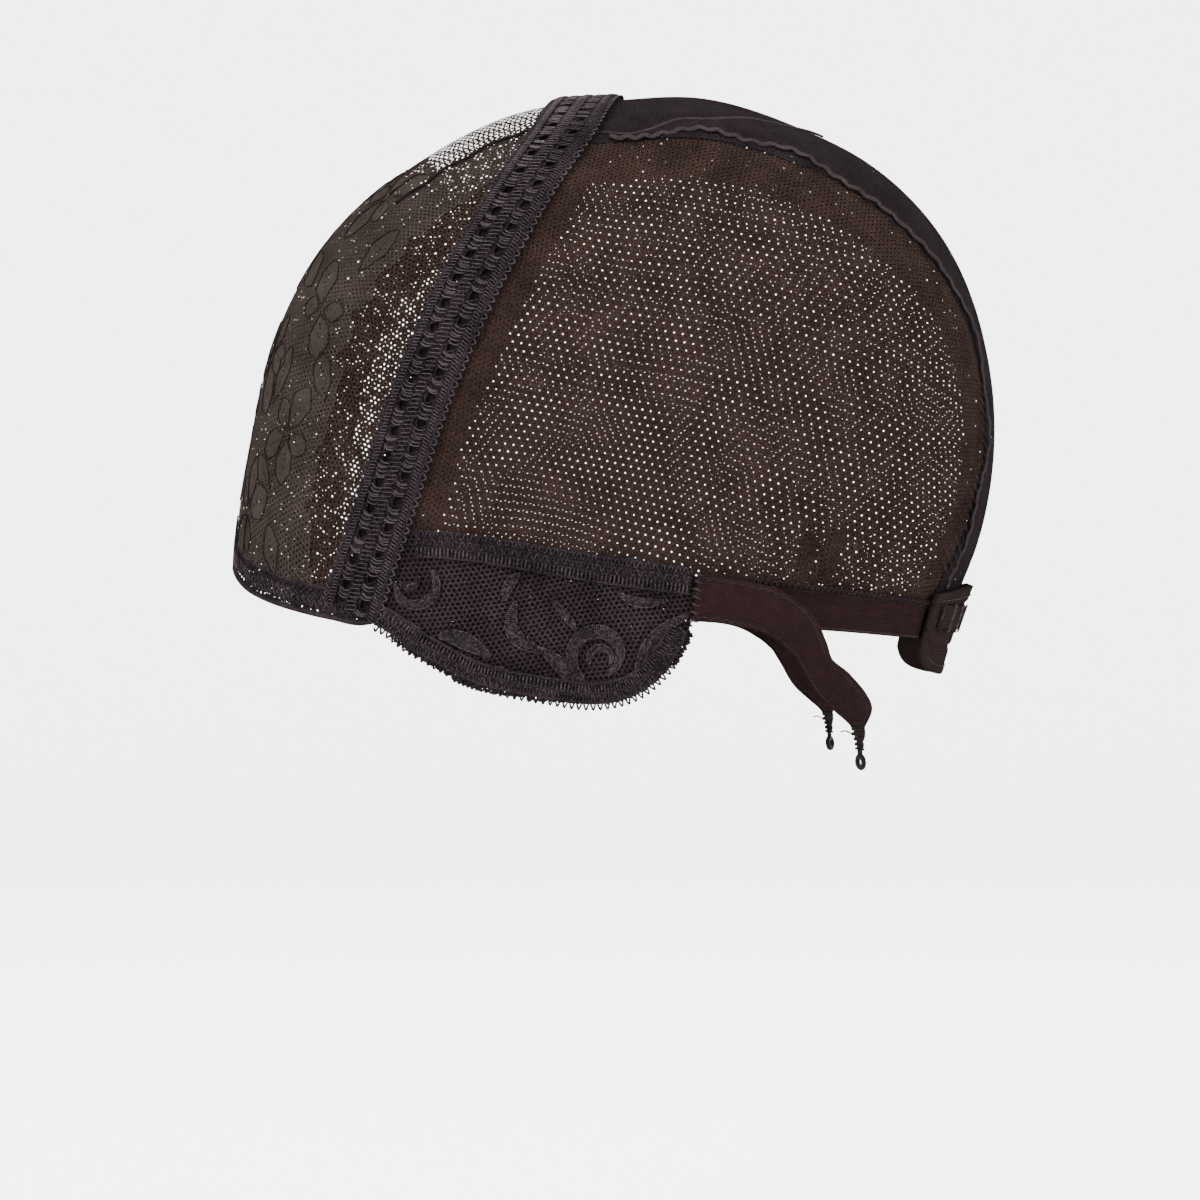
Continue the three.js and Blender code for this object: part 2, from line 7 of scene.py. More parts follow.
import bpy
import numpy as np
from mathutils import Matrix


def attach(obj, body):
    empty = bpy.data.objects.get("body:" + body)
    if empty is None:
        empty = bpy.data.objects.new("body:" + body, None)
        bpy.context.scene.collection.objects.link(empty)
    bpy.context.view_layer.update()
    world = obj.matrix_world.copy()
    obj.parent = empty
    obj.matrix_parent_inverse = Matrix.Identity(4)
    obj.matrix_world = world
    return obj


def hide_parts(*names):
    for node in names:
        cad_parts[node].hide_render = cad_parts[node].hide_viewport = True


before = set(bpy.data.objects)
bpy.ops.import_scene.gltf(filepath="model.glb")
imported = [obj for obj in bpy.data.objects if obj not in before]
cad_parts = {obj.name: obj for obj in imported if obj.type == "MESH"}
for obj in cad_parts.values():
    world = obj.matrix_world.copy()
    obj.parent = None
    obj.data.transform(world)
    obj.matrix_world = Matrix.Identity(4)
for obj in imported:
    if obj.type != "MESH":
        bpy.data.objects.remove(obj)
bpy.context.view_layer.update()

# Camera, floor and light. The camera looks at the wearer's left side, level with the middle of the cap's
# sides, and its picture is 304.3 mm wide where the middle plane of the cap is. The pale floor turns up
# into a round wall far outside the view, and three large soft lamps stand round it.
MILLIMETRE = 0.001
CAMERA_PLACE = np.array((1100.0, -3.7, -124.6))
PICTURE_WIDTH = 304.3
FLOOR = {"height": -310.0, "flat": 1900.0, "bend": 700.0, "wall": 1500.0}
FLOOR_WHITE = (0.86, 0.86, 0.86)
LAMPS = {
    "key_lamp": {"place": (1300, -1200, 1000), "size": 1200, "watts": 100},
    "fill_lamp": {"place": (1100, 1400, 500), "size": 1400, "watts": 50},
    "top_lamp": {"place": (-500, 100, 1700), "size": 1600, "watts": 90},
}
LAMP_AIM = (0, 0, -80)
SKY_STRENGTH = 4.0


def grid_faces(rows, columns):
    """Quads of a grid of points that is stored row by row, counter-clockwise where columns run right."""
    corner = np.arange(rows - 1)[:, None] * columns + np.arange(columns - 1)
    quads = np.stack([corner, corner + 1, corner + columns + 1, corner + columns], axis=-1)
    return quads.reshape(-1, 4)


def make_piece(name, points, faces, material, cloth=None):
    """A mesh object at the origin, from points in millimetres and a list of arrays of faces, each array
    with its own number of corners. Cloth gives each point's place along and across the cloth."""
    points = np.asarray(points, float).reshape(-1, 3) * MILLIMETRE
    corners = np.concatenate([np.ravel(group) for group in faces]).astype(np.int32)
    sizes = np.concatenate([np.full(len(group), group.shape[1]) for group in faces])
    mesh = bpy.data.meshes.new(name)
    mesh.vertices.add(len(points))
    mesh.vertices.foreach_set("co", points.astype(np.float32).ravel())
    mesh.loops.add(len(corners))
    mesh.loops.foreach_set("vertex_index", corners)
    mesh.polygons.add(len(sizes))
    mesh.polygons.foreach_set("loop_start", (np.cumsum(sizes) - sizes).astype(np.int32))
    mesh.polygons.foreach_set("use_smooth", np.full(len(sizes), True))
    mesh.update(calc_edges=True)
    if cloth is not None:
        place = np.asarray(cloth, np.float32).reshape(-1, 2)[corners]
        mesh.uv_layers.new(name="cloth").data.foreach_set("uv", place.ravel())
    mesh.materials.append(material)
    piece = bpy.data.objects.new(name, mesh)
    bpy.context.scene.collection.objects.link(piece)
    return piece


def matt(name, colour, roughness):
    """A material of one even colour."""
    material = bpy.data.materials.new(name)
    material.use_nodes = True
    shader = material.node_tree.nodes["Principled BSDF"]
    shader.inputs["Base Color"].default_value = (*colour, 1)
    shader.inputs["Roughness"].default_value = roughness
    return material


def cove(turns=96, bend_steps=12):
    """The floor: a profile of radius and height, flat, then a quarter circle, then upright, turned about
    the vertical axis."""
    bend = np.radians(np.linspace(0, 90, bend_steps))
    radius = np.concatenate([[0.001, FLOOR["flat"]], FLOOR["flat"] + FLOOR["bend"] * np.sin(bend[1:])])
    height = np.concatenate([[0, 0], FLOOR["bend"] * (1 - np.cos(bend[1:]))])
    radius = np.append(radius, radius[-1])
    height = np.append(height, FLOOR["wall"])
    around = np.radians(np.linspace(0, 360, turns + 1))
    x = radius[:, None] * np.cos(around)
    y = radius[:, None] * np.sin(around)
    z = np.broadcast_to(height[:, None] + FLOOR["height"], x.shape)
    return np.stack([x, y, z], axis=-1), [grid_faces(len(radius), turns + 1)[:, ::-1]]


floor = make_piece("floor", *cove(), matt("pale_floor", FLOOR_WHITE, 0.9))

camera = bpy.data.objects.new("camera", bpy.data.cameras.new("camera"))
camera.location = CAMERA_PLACE * MILLIMETRE
camera.rotation_euler = np.radians((90, 0, 90))
camera.data.lens = camera.data.sensor_width * CAMERA_PLACE[0] / PICTURE_WIDTH
bpy.context.scene.collection.objects.link(camera)
bpy.context.scene.camera = camera

for lamp_name, lamp in LAMPS.items():
    light = bpy.data.lights.new(lamp_name, "AREA")
    light.shape = "DISK"
    light.size = lamp["size"] * MILLIMETRE
    light.energy = lamp["watts"]
    holder = bpy.data.objects.new(lamp_name, light)
    holder.location = np.array(lamp["place"]) * MILLIMETRE
    aim = np.array(LAMP_AIM) - np.array(lamp["place"])
    flat = np.hypot(aim[0], aim[1])
    holder.rotation_euler = (np.arctan2(flat, -aim[2]), 0, np.arctan2(-aim[0], aim[1]))
    bpy.context.scene.collection.objects.link(holder)

sky = bpy.data.worlds.new("soft_sky")
sky.use_nodes = True
sky.node_tree.nodes["Background"].inputs["Color"].default_value = (1, 1, 1, 1)
sky.node_tree.nodes["Background"].inputs["Strength"].default_value = SKY_STRENGTH
bpy.context.scene.world = sky

# Front net. One layer of brown nylon net with six-sided meshes, stretched over the cap's form from the
# brow hem back to the middle of the crown tape, which is sewn over its edge.
HALF_BREADTH = 76
SQUARENESS = 2.3
EAR_AXIS = np.array((0, 0, -83.2))


def rows(columns, *values):
    """A short table with named columns."""
    return np.array(list(values), dtype=[(column, float) for column in columns.split()])


CAP_OUTLINE = rows(
    "angle reach",
    (-180, 150), (-150, 136), (-128, 116), (-111, 102.2), (-100, 94.8), (-90, 90.4), (-75, 88.2),
    (-55, 86.3), (-35, 83.9), (-15, 84), (0, 83.2), (15, 86.8), (30, 89.4), (45, 93.4), (60, 95.4),
    (80, 94.9), (105, 94.8), (118, 95.2), (130, 101.5), (150, 124), (180, 150),
)
TAPE_LINE = rows(
    "turn lean",
    (0, 4), (18, 5.6), (32, 8.7), (42, 13.2), (54, 19.7), (65, 25.8), (83, 33.5), (95, 36.6),
    (115, 39.3), (127, 39.7),
)
BROW = rows(
    "bearing top low",
    (0, 14.6, 19), (10, 15.8, 20), (21, 18.5, 22.6), (32, 21.3, 25.2), (40, 23.2, 27.2), (46, 24.4, 28.6),
)


def read(table, column, at):
    """A column's value at a key, on a cubic Hermite curve through the rows that is level at both ends."""
    key = table[table.dtype.names[0]]
    value = table[column]
    slope = np.zeros(len(key))
    slope[1:-1] = (value[2:] - value[:-2]) / (key[2:] - key[:-2])
    at = np.clip(at, key[0], key[-1])
    row = np.clip(np.searchsorted(key, at, side="right") - 1, 0, len(key) - 2)
    span = key[row + 1] - key[row]
    t = (at - key[row]) / span
    ends = (1 - t) ** 2 * (1 + 2 * t) * value[row] + t**2 * (3 - 2 * t) * value[row + 1]
    return ends + span * t * (1 - t) * (slope[row] * (1 - t) - slope[row + 1] * t)


def unit(vectors):
    """Each vector divided by its length."""
    return vectors / np.linalg.norm(vectors, axis=-1, keepdims=True)


def press(direction, lift=0):
    """The point of the cap's form in each direction from the ear axis, lifted along the form's normal.

    On the form (|x| / half breadth)^p + (r / reach)^p = 1, where r is the distance from the ear axis and
    the reach depends on the angle over the crown. The normal is the gradient of the left side."""
    d = unit(np.asarray(direction, float))
    side = np.maximum(np.hypot(d[..., 1], d[..., 2]), 1e-6)
    angle = np.degrees(np.arctan2(d[..., 1], d[..., 2]))
    reach = read(CAP_OUTLINE, "reach", angle)
    before, after = (read(CAP_OUTLINE, "reach", angle + step) for step in (-0.5, 0.5))
    slope = (after - before) / np.radians(1)
    p = SQUARENESS
    size = ((np.abs(d[..., 0]) / HALF_BREADTH) ** p + (side / reach) ** p) ** (-1 / p)
    r = side * size
    across = np.sign(d[..., 0]) * (np.abs(d[..., 0]) * size) ** (p - 1) / HALF_BREADTH**p
    outward = r ** (p - 1) / reach**p
    around = -(r ** (p - 1)) * slope / reach ** (p + 1)
    y, z = d[..., 1] / side, d[..., 2] / side
    normal = unit(np.stack([across, outward * y + around * z, outward * z - around * y], axis=-1))
    return EAR_AXIS + d * size[..., None] + normal * np.asarray(lift, float)[..., None]


def bearing_and_drop(direction):
    """Round the rim from the brow, and below the ear axis."""
    d = unit(direction)
    return np.degrees(np.arctan2(np.abs(d[..., 0]), -d[..., 1])), np.degrees(np.arcsin(-d[..., 2]))


def turn_and_lean(direction):
    """Over the crown from ear to ear, and towards the brow."""
    d = unit(direction)
    return np.degrees(np.arctan2(d[..., 0], d[..., 2])), np.degrees(np.arcsin(-d[..., 1]))


def before_tape(direction):
    """Degrees from the tape's centre line towards the brow."""
    turn, lean = turn_and_lean(direction)
    return lean - read(TAPE_LINE, "lean", np.abs(turn))


def flat_to_form(pole, scale):
    """Lays a flat cloth on the form round a pole: a point at distance s from its centre goes s / scale
    radians away from the pole, in its own direction."""
    pole = unit(np.array(pole, float))
    right = unit(np.cross((0, 0, 1), pole))
    up = np.cross(pole, right)

    def lay(flat):
        """The directions of places on the flat cloth."""
        distance = np.maximum(np.hypot(flat[..., 0], flat[..., 1]), 1e-9)
        away = (flat[..., :1] * right + flat[..., 1:] * up) / distance[..., None]
        angle = (distance / scale)[..., None]
        return np.cos(angle) * pole + np.sin(angle) * away

    return lay


def drawn(flat, pull=0.45):
    """A flat cloth drawn a little out of shape: each point moves by sines of both its coordinates."""
    x, y = flat[..., 0], flat[..., 1]
    along = np.sin(y / 7.1) + np.sin(x / 17 + y / 13)
    aside = np.sin(x / 8.3) + np.sin(x / 15 - y / 19)
    return flat + pull * np.stack([along, aside], axis=-1)


def net(spacing, size, lay, inside, hole, lift, turned=15, relief=None):
    """Net with six-sided meshes, made as the flat threads between its holes.

    The holes' centres are i a + j b, with a and b one spacing long and 60 degrees apart. A hole has its
    corners at 30 degrees and every 60 degrees on, spacing / sqrt(3) times hole from its centre. A quad
    joins each two neighbouring holes, and a triangle each three. Only holes whose centre is inside are
    kept. Size is the flat cloth's half width and half height."""
    count = int(max(size) / spacing * 1.6)
    i, j = np.mgrid[-count : count + 1, -count : count + 1].reshape(2, -1)
    centres = np.stack([i + j / 2, j * np.sqrt(0.75)], axis=-1)
    angle = np.radians(turned)
    turn = np.array([[np.cos(angle), np.sin(angle)], [-np.sin(angle), np.cos(angle)]]) * spacing
    kept = np.flatnonzero(np.all(np.abs(centres @ turn) < size, axis=1))
    kept = kept[inside(lay(drawn(centres[kept] @ turn)))]
    centres = centres[kept]
    hole = np.broadcast_to(hole(centres @ turn) if callable(hole) else hole, len(kept))
    around = np.radians(30 + 60 * np.arange(6))
    arms = np.stack([np.cos(around), np.sin(around)], axis=-1) / np.sqrt(3)
    corners = (centres[:, None] + arms * hole[:, None, None]).reshape(-1, 2)
    direction = lay(drawn(corners @ turn))
    height = lift + (relief(direction) if relief is not None else np.zeros(len(direction)))

    first_corner = np.full(len(i), -1)
    first_corner[kept] = 6 * np.arange(len(kept))
    column = 2 * count + 1
    here = first_corner[kept]
    east, north_east, north_west = (first_corner[kept + step] for step in (column, 1, 1 - column))
    faces = []
    for k, near in enumerate((east, north_east, north_west)):
        quads = np.stack([here + (k - 1) % 6, near + k + 3, near + k + 2, here + k], axis=-1)
        faces.append(quads[near >= 0])
    for k, (near, next_one) in enumerate(((east, north_east), (north_east, north_west))):
        triangles = np.stack([here + k, near + k + 2, next_one + k + 4], axis=-1)
        faces.append(triangles[(near >= 0) & (next_one >= 0)])
    return press(direction, height), faces


YARN = {"patch": 9, "patches": 0.35, "from": 0.54, "to": 0.84}


def dyed(name, dark, light, roughness, relief):
    """A dull thread or cloth. Also gives its nodes and links, and two open sockets: one takes how far the
    colour has gone from dark to light, the other how high the surface stands, as a share of the relief."""
    material = bpy.data.materials.new(name)
    material.use_nodes = True
    nodes, links = material.node_tree.nodes, material.node_tree.links
    shader, mix, bump = nodes["Principled BSDF"], nodes.new("ShaderNodeMix"), nodes.new("ShaderNodeBump")
    shader.inputs["Roughness"].default_value = roughness
    shader.inputs["Specular IOR Level"].default_value = 0
    mix.data_type = "RGBA"
    mix.inputs[6].default_value = (*dark, 1)
    mix.inputs[7].default_value = (*light, 1)
    bump.inputs["Distance"].default_value = relief * MILLIMETRE
    links.new(mix.outputs[2], shader.inputs["Base Color"])
    links.new(bump.outputs["Normal"], shader.inputs["Normal"])
    return material, nodes, links, mix.inputs[0], bump.inputs["Height"]


def yarn(name, dark, light, roughness=0.65, sheen=0.003, fleck=0.35, relief=0.15):
    """Thread: its colour wanders between dark and light in patches and in flecks as fine as the fibres,
    and the flecks stand up a little. Fleck and relief are in millimetres."""
    material, nodes, links, tone, height = dyed(name, dark, light, roughness, relief)
    nodes["Principled BSDF"].inputs["Sheen Weight"].default_value = sheen
    nodes["Principled BSDF"].inputs["Sheen Roughness"].default_value = 0.45
    place = nodes.new("ShaderNodeTexCoord")
    broad, fine = nodes.new("ShaderNodeTexNoise"), nodes.new("ShaderNodeTexNoise")
    for noise, size in ((broad, YARN["patch"]), (fine, fleck)):
        noise.inputs["Scale"].default_value = 1 / (size * MILLIMETRE)
        noise.inputs["Detail"].default_value = 2
        links.new(place.outputs["Object"], noise.inputs["Vector"])
    both = nodes.new("ShaderNodeMath")
    both.operation = "MULTIPLY_ADD"
    both.inputs[1].default_value = YARN["patches"]
    links.new(broad.outputs["Fac"], both.inputs[0])
    links.new(fine.outputs["Fac"], both.inputs[2])
    ramp = nodes.new("ShaderNodeMapRange")
    ramp.inputs["From Min"].default_value = YARN["from"]
    ramp.inputs["From Max"].default_value = YARN["to"]
    links.new(both.outputs[0], ramp.inputs["Value"])
    links.new(ramp.outputs["Result"], tone)
    links.new(fine.outputs["Fac"], height)
    return material


def fit(piece, slot, *nodes):
    """The piece rides on the cap's one body and stands for these nodes. The slot is not used."""
    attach(piece, "root")
    if nodes:
        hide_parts(*nodes)


FRONT_NET = {"spacing": 1.35, "hole": 0.48, "pole": (0, -0.82, 0.57), "scale": 84, "size": (108, 88)}
OPEN_TOP = {"half": 41, "start": -36, "spacing": 1.6, "hole": 0.61, "overlap": 2}
NET_LIFT = 0.8
net_thread = yarn("brown_net_thread", (0.0040, 0.0024, 0.0020), (0.0125, 0.0078, 0.0064))


def in_front_net(direction):
    """Before the tape's centre line and above the hem's upper edge."""
    bearing, drop = bearing_and_drop(direction)
    return (before_tape(direction) > 0) & (drop < read(BROW, "top", bearing) + 0.6)


def in_open_top(direction, inset=0):
    """The middle of the crown before the tape, where the net is stretched open, less an inset all round."""
    point = press(direction)
    angle = np.degrees(np.arctan2(point[..., 1], point[..., 2] - EAR_AXIS[2]))
    middle = np.abs(point[..., 0]) < OPEN_TOP["half"] - inset
    return in_front_net(direction) & middle & (angle > OPEN_TOP["start"] + inset)


def in_closed_front(direction):
    """The rest of the front net, which overlaps the open top a little."""
    return in_front_net(direction) & ~in_open_top(direction, OPEN_TOP["overlap"])


lay_front = flat_to_form(FRONT_NET["pole"], FRONT_NET["scale"])
closed_front = net(
    FRONT_NET["spacing"], FRONT_NET["size"], lay_front, in_closed_front, FRONT_NET["hole"], NET_LIFT, 8)
open_front = net(
    OPEN_TOP["spacing"], FRONT_NET["size"], lay_front, in_open_top, OPEN_TOP["hole"], NET_LIFT, 8)
fit(make_piece("front_net_mesh", *closed_front, net_thread), "net", "front_net")
fit(make_piece("front_net_open_top", *open_front, net_thread), "net")

# Side nets. The same net behind the tape, over each ear, from the tab and the nape elastic up to the
# middle panel. It lies in soft waves and is gathered into pleats where the nape elastic holds it.
SIDE_NET = {"spacing": 1.3, "hole": 0.345, "pole": (1, 0.16, 0.34), "scale": 86, "size": (108, 92)}
EAR_TAB = rows(
    "bearing top low",
    (47, 16.4, 29.4), (54, 16.8, 33.6), (65, 18.4, 39.4), (80, 21.6, 42.8), (88, 23, 43.3),
    (95, 23.8, 41.9), (100, 24.2, 38.8), (103, 24.4, 35.2), (105, 24.5, 31.8),
)
NAPE = rows("bearing top low", (105, 24.5, 31.8), (132, 25.3, 31.5), (180, 26.2, 31.8))
MIDDLE_PANEL = rows(
    "angle half",
    (-10, 49), (15, 48), (34, 45.5), (54, 41.5), (64, 36.5), (76, 31.5), (90, 29), (106, 33.5), (120, 37),
)
WAVES = {"pitch": 19, "height": 0.55, "slant": 0.35}
PLEATS = {"from": 120, "to": 151, "pitch": 5.4, "height": 1.1, "reach": 15, "slant": 0.5}
UNDER_SEAM = 2


def smoothstep(value, start, end):
    """Rises from 0 at start to 1 at end as 3 t^2 - 2 t^3."""
    t = np.clip((value - start) / (end - start), 0, 1)
    return t * t * (3 - 2 * t)


def rim_top(bearing):
    """How far the net drops below the ear axis at a bearing: to the tab, or to the nape elastic."""
    tab, nape = read(EAR_TAB, "top", bearing), read(NAPE, "top", bearing)
    return np.where(bearing < NAPE["bearing"][0], tab, nape)


def from_middle_panel(direction):
    """How far outside the middle panel's long edge a point of the form lies, in millimetres."""
    point = press(direction)
    angle = np.degrees(np.arctan2(point[..., 1], point[..., 2] - EAR_AXIS[2]))
    return np.abs(point[..., 0]) - read(MIDDLE_PANEL, "half", angle)


def in_side_net(direction):
    """Behind the tape, above the rim and outside the middle panel, with an overlap under each of them."""
    bearing, drop = bearing_and_drop(direction)
    behind_tape = before_tape(direction) < 0
    return behind_tape & (drop < rim_top(bearing) + 0.5) & (from_middle_panel(direction) > -UNDER_SEAM)


def side_relief(direction):
    """Waves: a sine of the height above the rim, slanting with the bearing, that dies away at every edge.
    Pleats: a raised sine of the bearing, that dies away above the elastic and at both ends of it."""
    bearing, drop = bearing_and_drop(direction)
    above = rim_top(bearing) - drop
    clear = smoothstep(above, 2, 14) * smoothstep(from_middle_panel(direction), 1, 12)
    clear = clear * smoothstep(-before_tape(direction), 5, 14)
    swell = np.sin(2 * np.pi * (above + WAVES["slant"] * bearing) / WAVES["pitch"] + np.sin(bearing / 17))
    gathered = smoothstep(bearing, PLEATS["from"], PLEATS["from"] + 5)
    gathered = gathered * smoothstep(PLEATS["to"] - bearing, 0, 3)
    fading = smoothstep(above, 0, 1) * (1 - smoothstep(above, 0.25 * PLEATS["reach"], PLEATS["reach"]))
    pleat = 0.5 + 0.5 * np.sin(2 * np.pi * (bearing - PLEATS["slant"] * above) / PLEATS["pitch"])
    return WAVES["height"] * swell * clear + PLEATS["height"] * pleat * gathered * fading


def mirrored(points, faces):
    """The same mesh on the wearer's right."""
    return points * (-1, 1, 1), [group[:, ::-1] for group in faces]


def both_sides(name, mesh, material, slot, node=None, cloth=None):
    """The piece on the wearer's left, and its mirror image on the right, named for their sides."""
    for side in ("left", "right"):
        if side == "right":
            mesh = mirrored(*mesh)
        piece = make_piece(name.format(side), *mesh, material, cloth)
        fit(piece, slot, *([node.format(side)] if node else []))


for side, turned in (("left", 15), ("right", 44)):
    side_mesh = net(
        SIDE_NET["spacing"], SIDE_NET["size"], flat_to_form(SIDE_NET["pole"], SIDE_NET["scale"]),
        in_side_net, SIDE_NET["hole"], NET_LIFT, turned, side_relief,
    )
    if side == "right":
        side_mesh = mirrored(*side_mesh)
    fit(make_piece(f"side_net_{side}_mesh", *side_mesh, net_thread), "net", f"side_net_{side}")

# Middle panel. The net is laid double from the tape to the nape, so little light comes through, and its
# thread is darker than the other nets' as painted shade. The two layers are cut at different angles, and
# each long edge is folded over into a wandering seam.
STRIP_NET = {"size": (108, 56), "start": -12, "end": 117}
STRIP_LAYERS = {
    "outer": {"spacing": 1.45, "hole": 0.34, "lift": 1.0, "turned": 4},
    "inner": {"spacing": 1.9, "hole": 0.24, "lift": 0.8, "turned": 31},
}
STRIP_RELIEF = {"height": 0.25, "pitch": 46}
FOLD = {"inset": 2.5, "wander": 1.4, "width": 0.85, "thick": 0.3, "lift": 1.6}
SIDE_FOLD = rows(
    "angle x", (-6, 45), (7, 44.7), (12, 40.6), (19, 36.3), (25, 30.1), (31, 22), (36, 8), (40, -10))
CREASE = {"start": -5, "end": 35, "lift": 1.08, "half": 0.25, "swell": 0.3, "thick": 0.3, "wander": 0.7}
LADDER = {
    "from": 84, "to": 115, "pitch": 1.5, "length": 7, "slant": 2.5, "inside": 3, "radius": 0.13, "lift": 1.5,
}
# Painted shade: this thread is darker than the single net's, for the shade over the crown strip. The doubled
# layers are real.
doubled_thread_painted_shade = yarn("net_thread_darkened_as_painted_shade", (0.0024, 0.0017, 0.0018), (0.0070, 0.0053, 0.0057))
fold_thread = yarn("folded_net_edge", (0.0060, 0.0044, 0.0048), (0.0170, 0.0130, 0.0132))


def over_crown(angle, x):
    """The direction at an angle over the crown and a distance from the middle plane."""
    share = 1 - np.minimum(np.abs(x) / HALF_BREADTH, 1) ** SQUARENESS
    r = read(CAP_OUTLINE, "reach", angle) * share ** (1 / SQUARENESS)
    return unit(np.stack([x + 0 * r, r * np.sin(np.radians(angle)), r * np.cos(np.radians(angle))], axis=-1))


def travel(points):
    """Distance along a row of points from its first one."""
    steps = np.linalg.norm(np.diff(points, axis=0), axis=-1)
    return np.concatenate([[0], np.cumsum(steps)])


def lay_over_crown(flat):
    """Wraps a flat cloth over the crown: its length runs along the middle plane, its width to both sides."""
    angles = np.linspace(-30, 150, 361)
    length = travel(press(over_crown(angles, np.zeros(len(angles)))))
    middle = np.interp((STRIP_NET["start"] + STRIP_NET["end"]) / 2, angles, length)
    angle = np.interp(middle + flat[..., 0], length, angles)
    x = np.linspace(0, 66, 133)
    width = travel(press(over_crown(np.full(len(x), 45.0), x)))
    return over_crown(angle, -np.sign(flat[..., 1]) * np.interp(np.abs(flat[..., 1]), width, x))


def in_middle_panel(direction):
    """Behind the tape, before the nape, and between the panel's long edges."""
    angle = np.degrees(np.arctan2(direction[..., 1], direction[..., 2]))
    reach = (before_tape(direction) < 0) & (angle < STRIP_NET["end"])
    return reach & (from_middle_panel(direction) < 0)


def strip_relief(direction):
    """A slow swell: a sine of the distance from the middle plane that turns with the angle."""
    point = press(direction)
    angle = np.arctan2(point[..., 1], point[..., 2] - EAR_AXIS[2])
    return STRIP_RELIEF["height"] * np.sin(2 * np.pi * point[..., 0] / STRIP_RELIEF["pitch"] + 5 * angle)


def rings_to_faces(count, length, sides):
    """Quads round each of several tubes whose rings are stored tube by tube, and their end faces."""
    ring = np.arange(count)[:, None, None] * length + np.arange(length - 1)[:, None]
    start = (ring * sides)[..., None] + np.arange(sides)
    start, after = start.reshape(count, length - 1, sides), np.roll(np.arange(sides), -1)
    quads = np.stack([start, start[..., after], start[..., after] + sides, start + sides], axis=-1)
    first = np.arange(count)[:, None] * length * sides + np.arange(sides)[::-1]
    last = (np.arange(count)[:, None] + 1) * length * sides - sides + np.arange(sides)
    return [quads.reshape(-1, 4), np.concatenate([first, last])]


def threads(paths, outward, wide, high=None, sides=5):
    """Threads along paths of shape (threads, points, 3): a ring of points round each path point, wide
    across the thread and high along outward, which is the cloth's normal there."""
    paths = np.asarray(paths, float)
    tangent = unit(np.gradient(paths, axis=1))
    across = unit(np.cross(np.broadcast_to(outward, paths.shape), tangent))
    upward = np.cross(tangent, across)
    around = 2 * np.pi * np.arange(sides) / sides
    high = wide if high is None else high
    ring = paths[:, :, None] + wide * np.cos(around)[:, None] * across[:, :, None]
    ring = ring + high * np.sin(around)[:, None] * upward[:, :, None]
    return ring.reshape(-1, 3), rings_to_faces(*paths.shape[:2], sides)


def join(*meshes):
    """Several meshes as one."""
    points, faces, start = [], [], 0
    for mesh_points, groups in meshes:
        mesh_points = np.asarray(mesh_points).reshape(-1, 3)
        points.append(mesh_points)
        faces.extend(np.asarray(group) + start for group in groups)
        start += len(mesh_points)
    return np.concatenate(points), faces


def normal_of(direction):
    """The form's normal, as the step from the form to the point one millimetre above it."""
    return press(direction, 1) - press(direction, 0)


def thread_on_form(directions, lift, wide, high=None, sides=5):
    """Threads that lie on the form through directions of shape (threads, points, 3)."""
    return threads(press(directions, lift), normal_of(directions), wide, high, sides)


for layer, cloth in STRIP_LAYERS.items():
    strip = make_piece(
        f"middle_panel_{layer}",
        *net(cloth["spacing"], STRIP_NET["size"], lay_over_crown, in_middle_panel, cloth["hole"],
             cloth["lift"], cloth["turned"], strip_relief),
        doubled_thread_painted_shade,
    )
    fit(strip, "doubled_net", *(["crown_strip"] if layer == "outer" else []))


def edge_fold(side):
    """The folded edge: its distance from the middle plane wanders as a sum of two sines of the angle."""
    angle = np.linspace(-1, 115.5, 260)
    wander = np.sin(angle / 3.1) * 0.6 + np.sin(angle / 7.3 + 1) * 0.9 + 0.35 * np.sin(angle * 1.9)
    x = read(MIDDLE_PANEL, "half", angle) - FOLD["inset"] + FOLD["wander"] * wander
    lift = FOLD["lift"] + 0.25 * np.sin(angle / 2.3)
    path = over_crown(angle, side * x)[None]
    return threads(press(path, lift[None]), normal_of(path), FOLD["width"], FOLD["thick"], 8)


crease_angle = np.linspace(CREASE["start"], CREASE["end"], 90)
crease_x = read(SIDE_FOLD, "x", crease_angle) + CREASE["wander"] * np.sin(crease_angle / 2.1)
crease = over_crown(crease_angle, crease_x)[None]
crease_half = CREASE["half"] + CREASE["swell"] * np.sin(np.linspace(0, np.pi, len(crease_angle)))
ladder_angle = np.arange(LADDER["from"], LADDER["to"], LADDER["pitch"])
ladder_edge = read(MIDDLE_PANEL, "half", ladder_angle)
ladder_share = np.linspace(0, 1, 5)
ladder_x = ladder_edge[:, None] - LADDER["inside"] + ladder_share * LADDER["length"]
ladder = over_crown(ladder_angle[:, None] - LADDER["slant"] * ladder_share, ladder_x)
seams = join(
    edge_fold(1), edge_fold(-1),
    thread_on_form(crease, CREASE["lift"], crease_half[None, :, None, None], CREASE["thick"], 8),
    *(thread_on_form(ladder * (side, 1, 1), LADDER["lift"], LADDER["radius"]) for side in (1, -1)),
)
fit(make_piece("middle_panel_folds", *seams, fold_thread), "doubled_net")
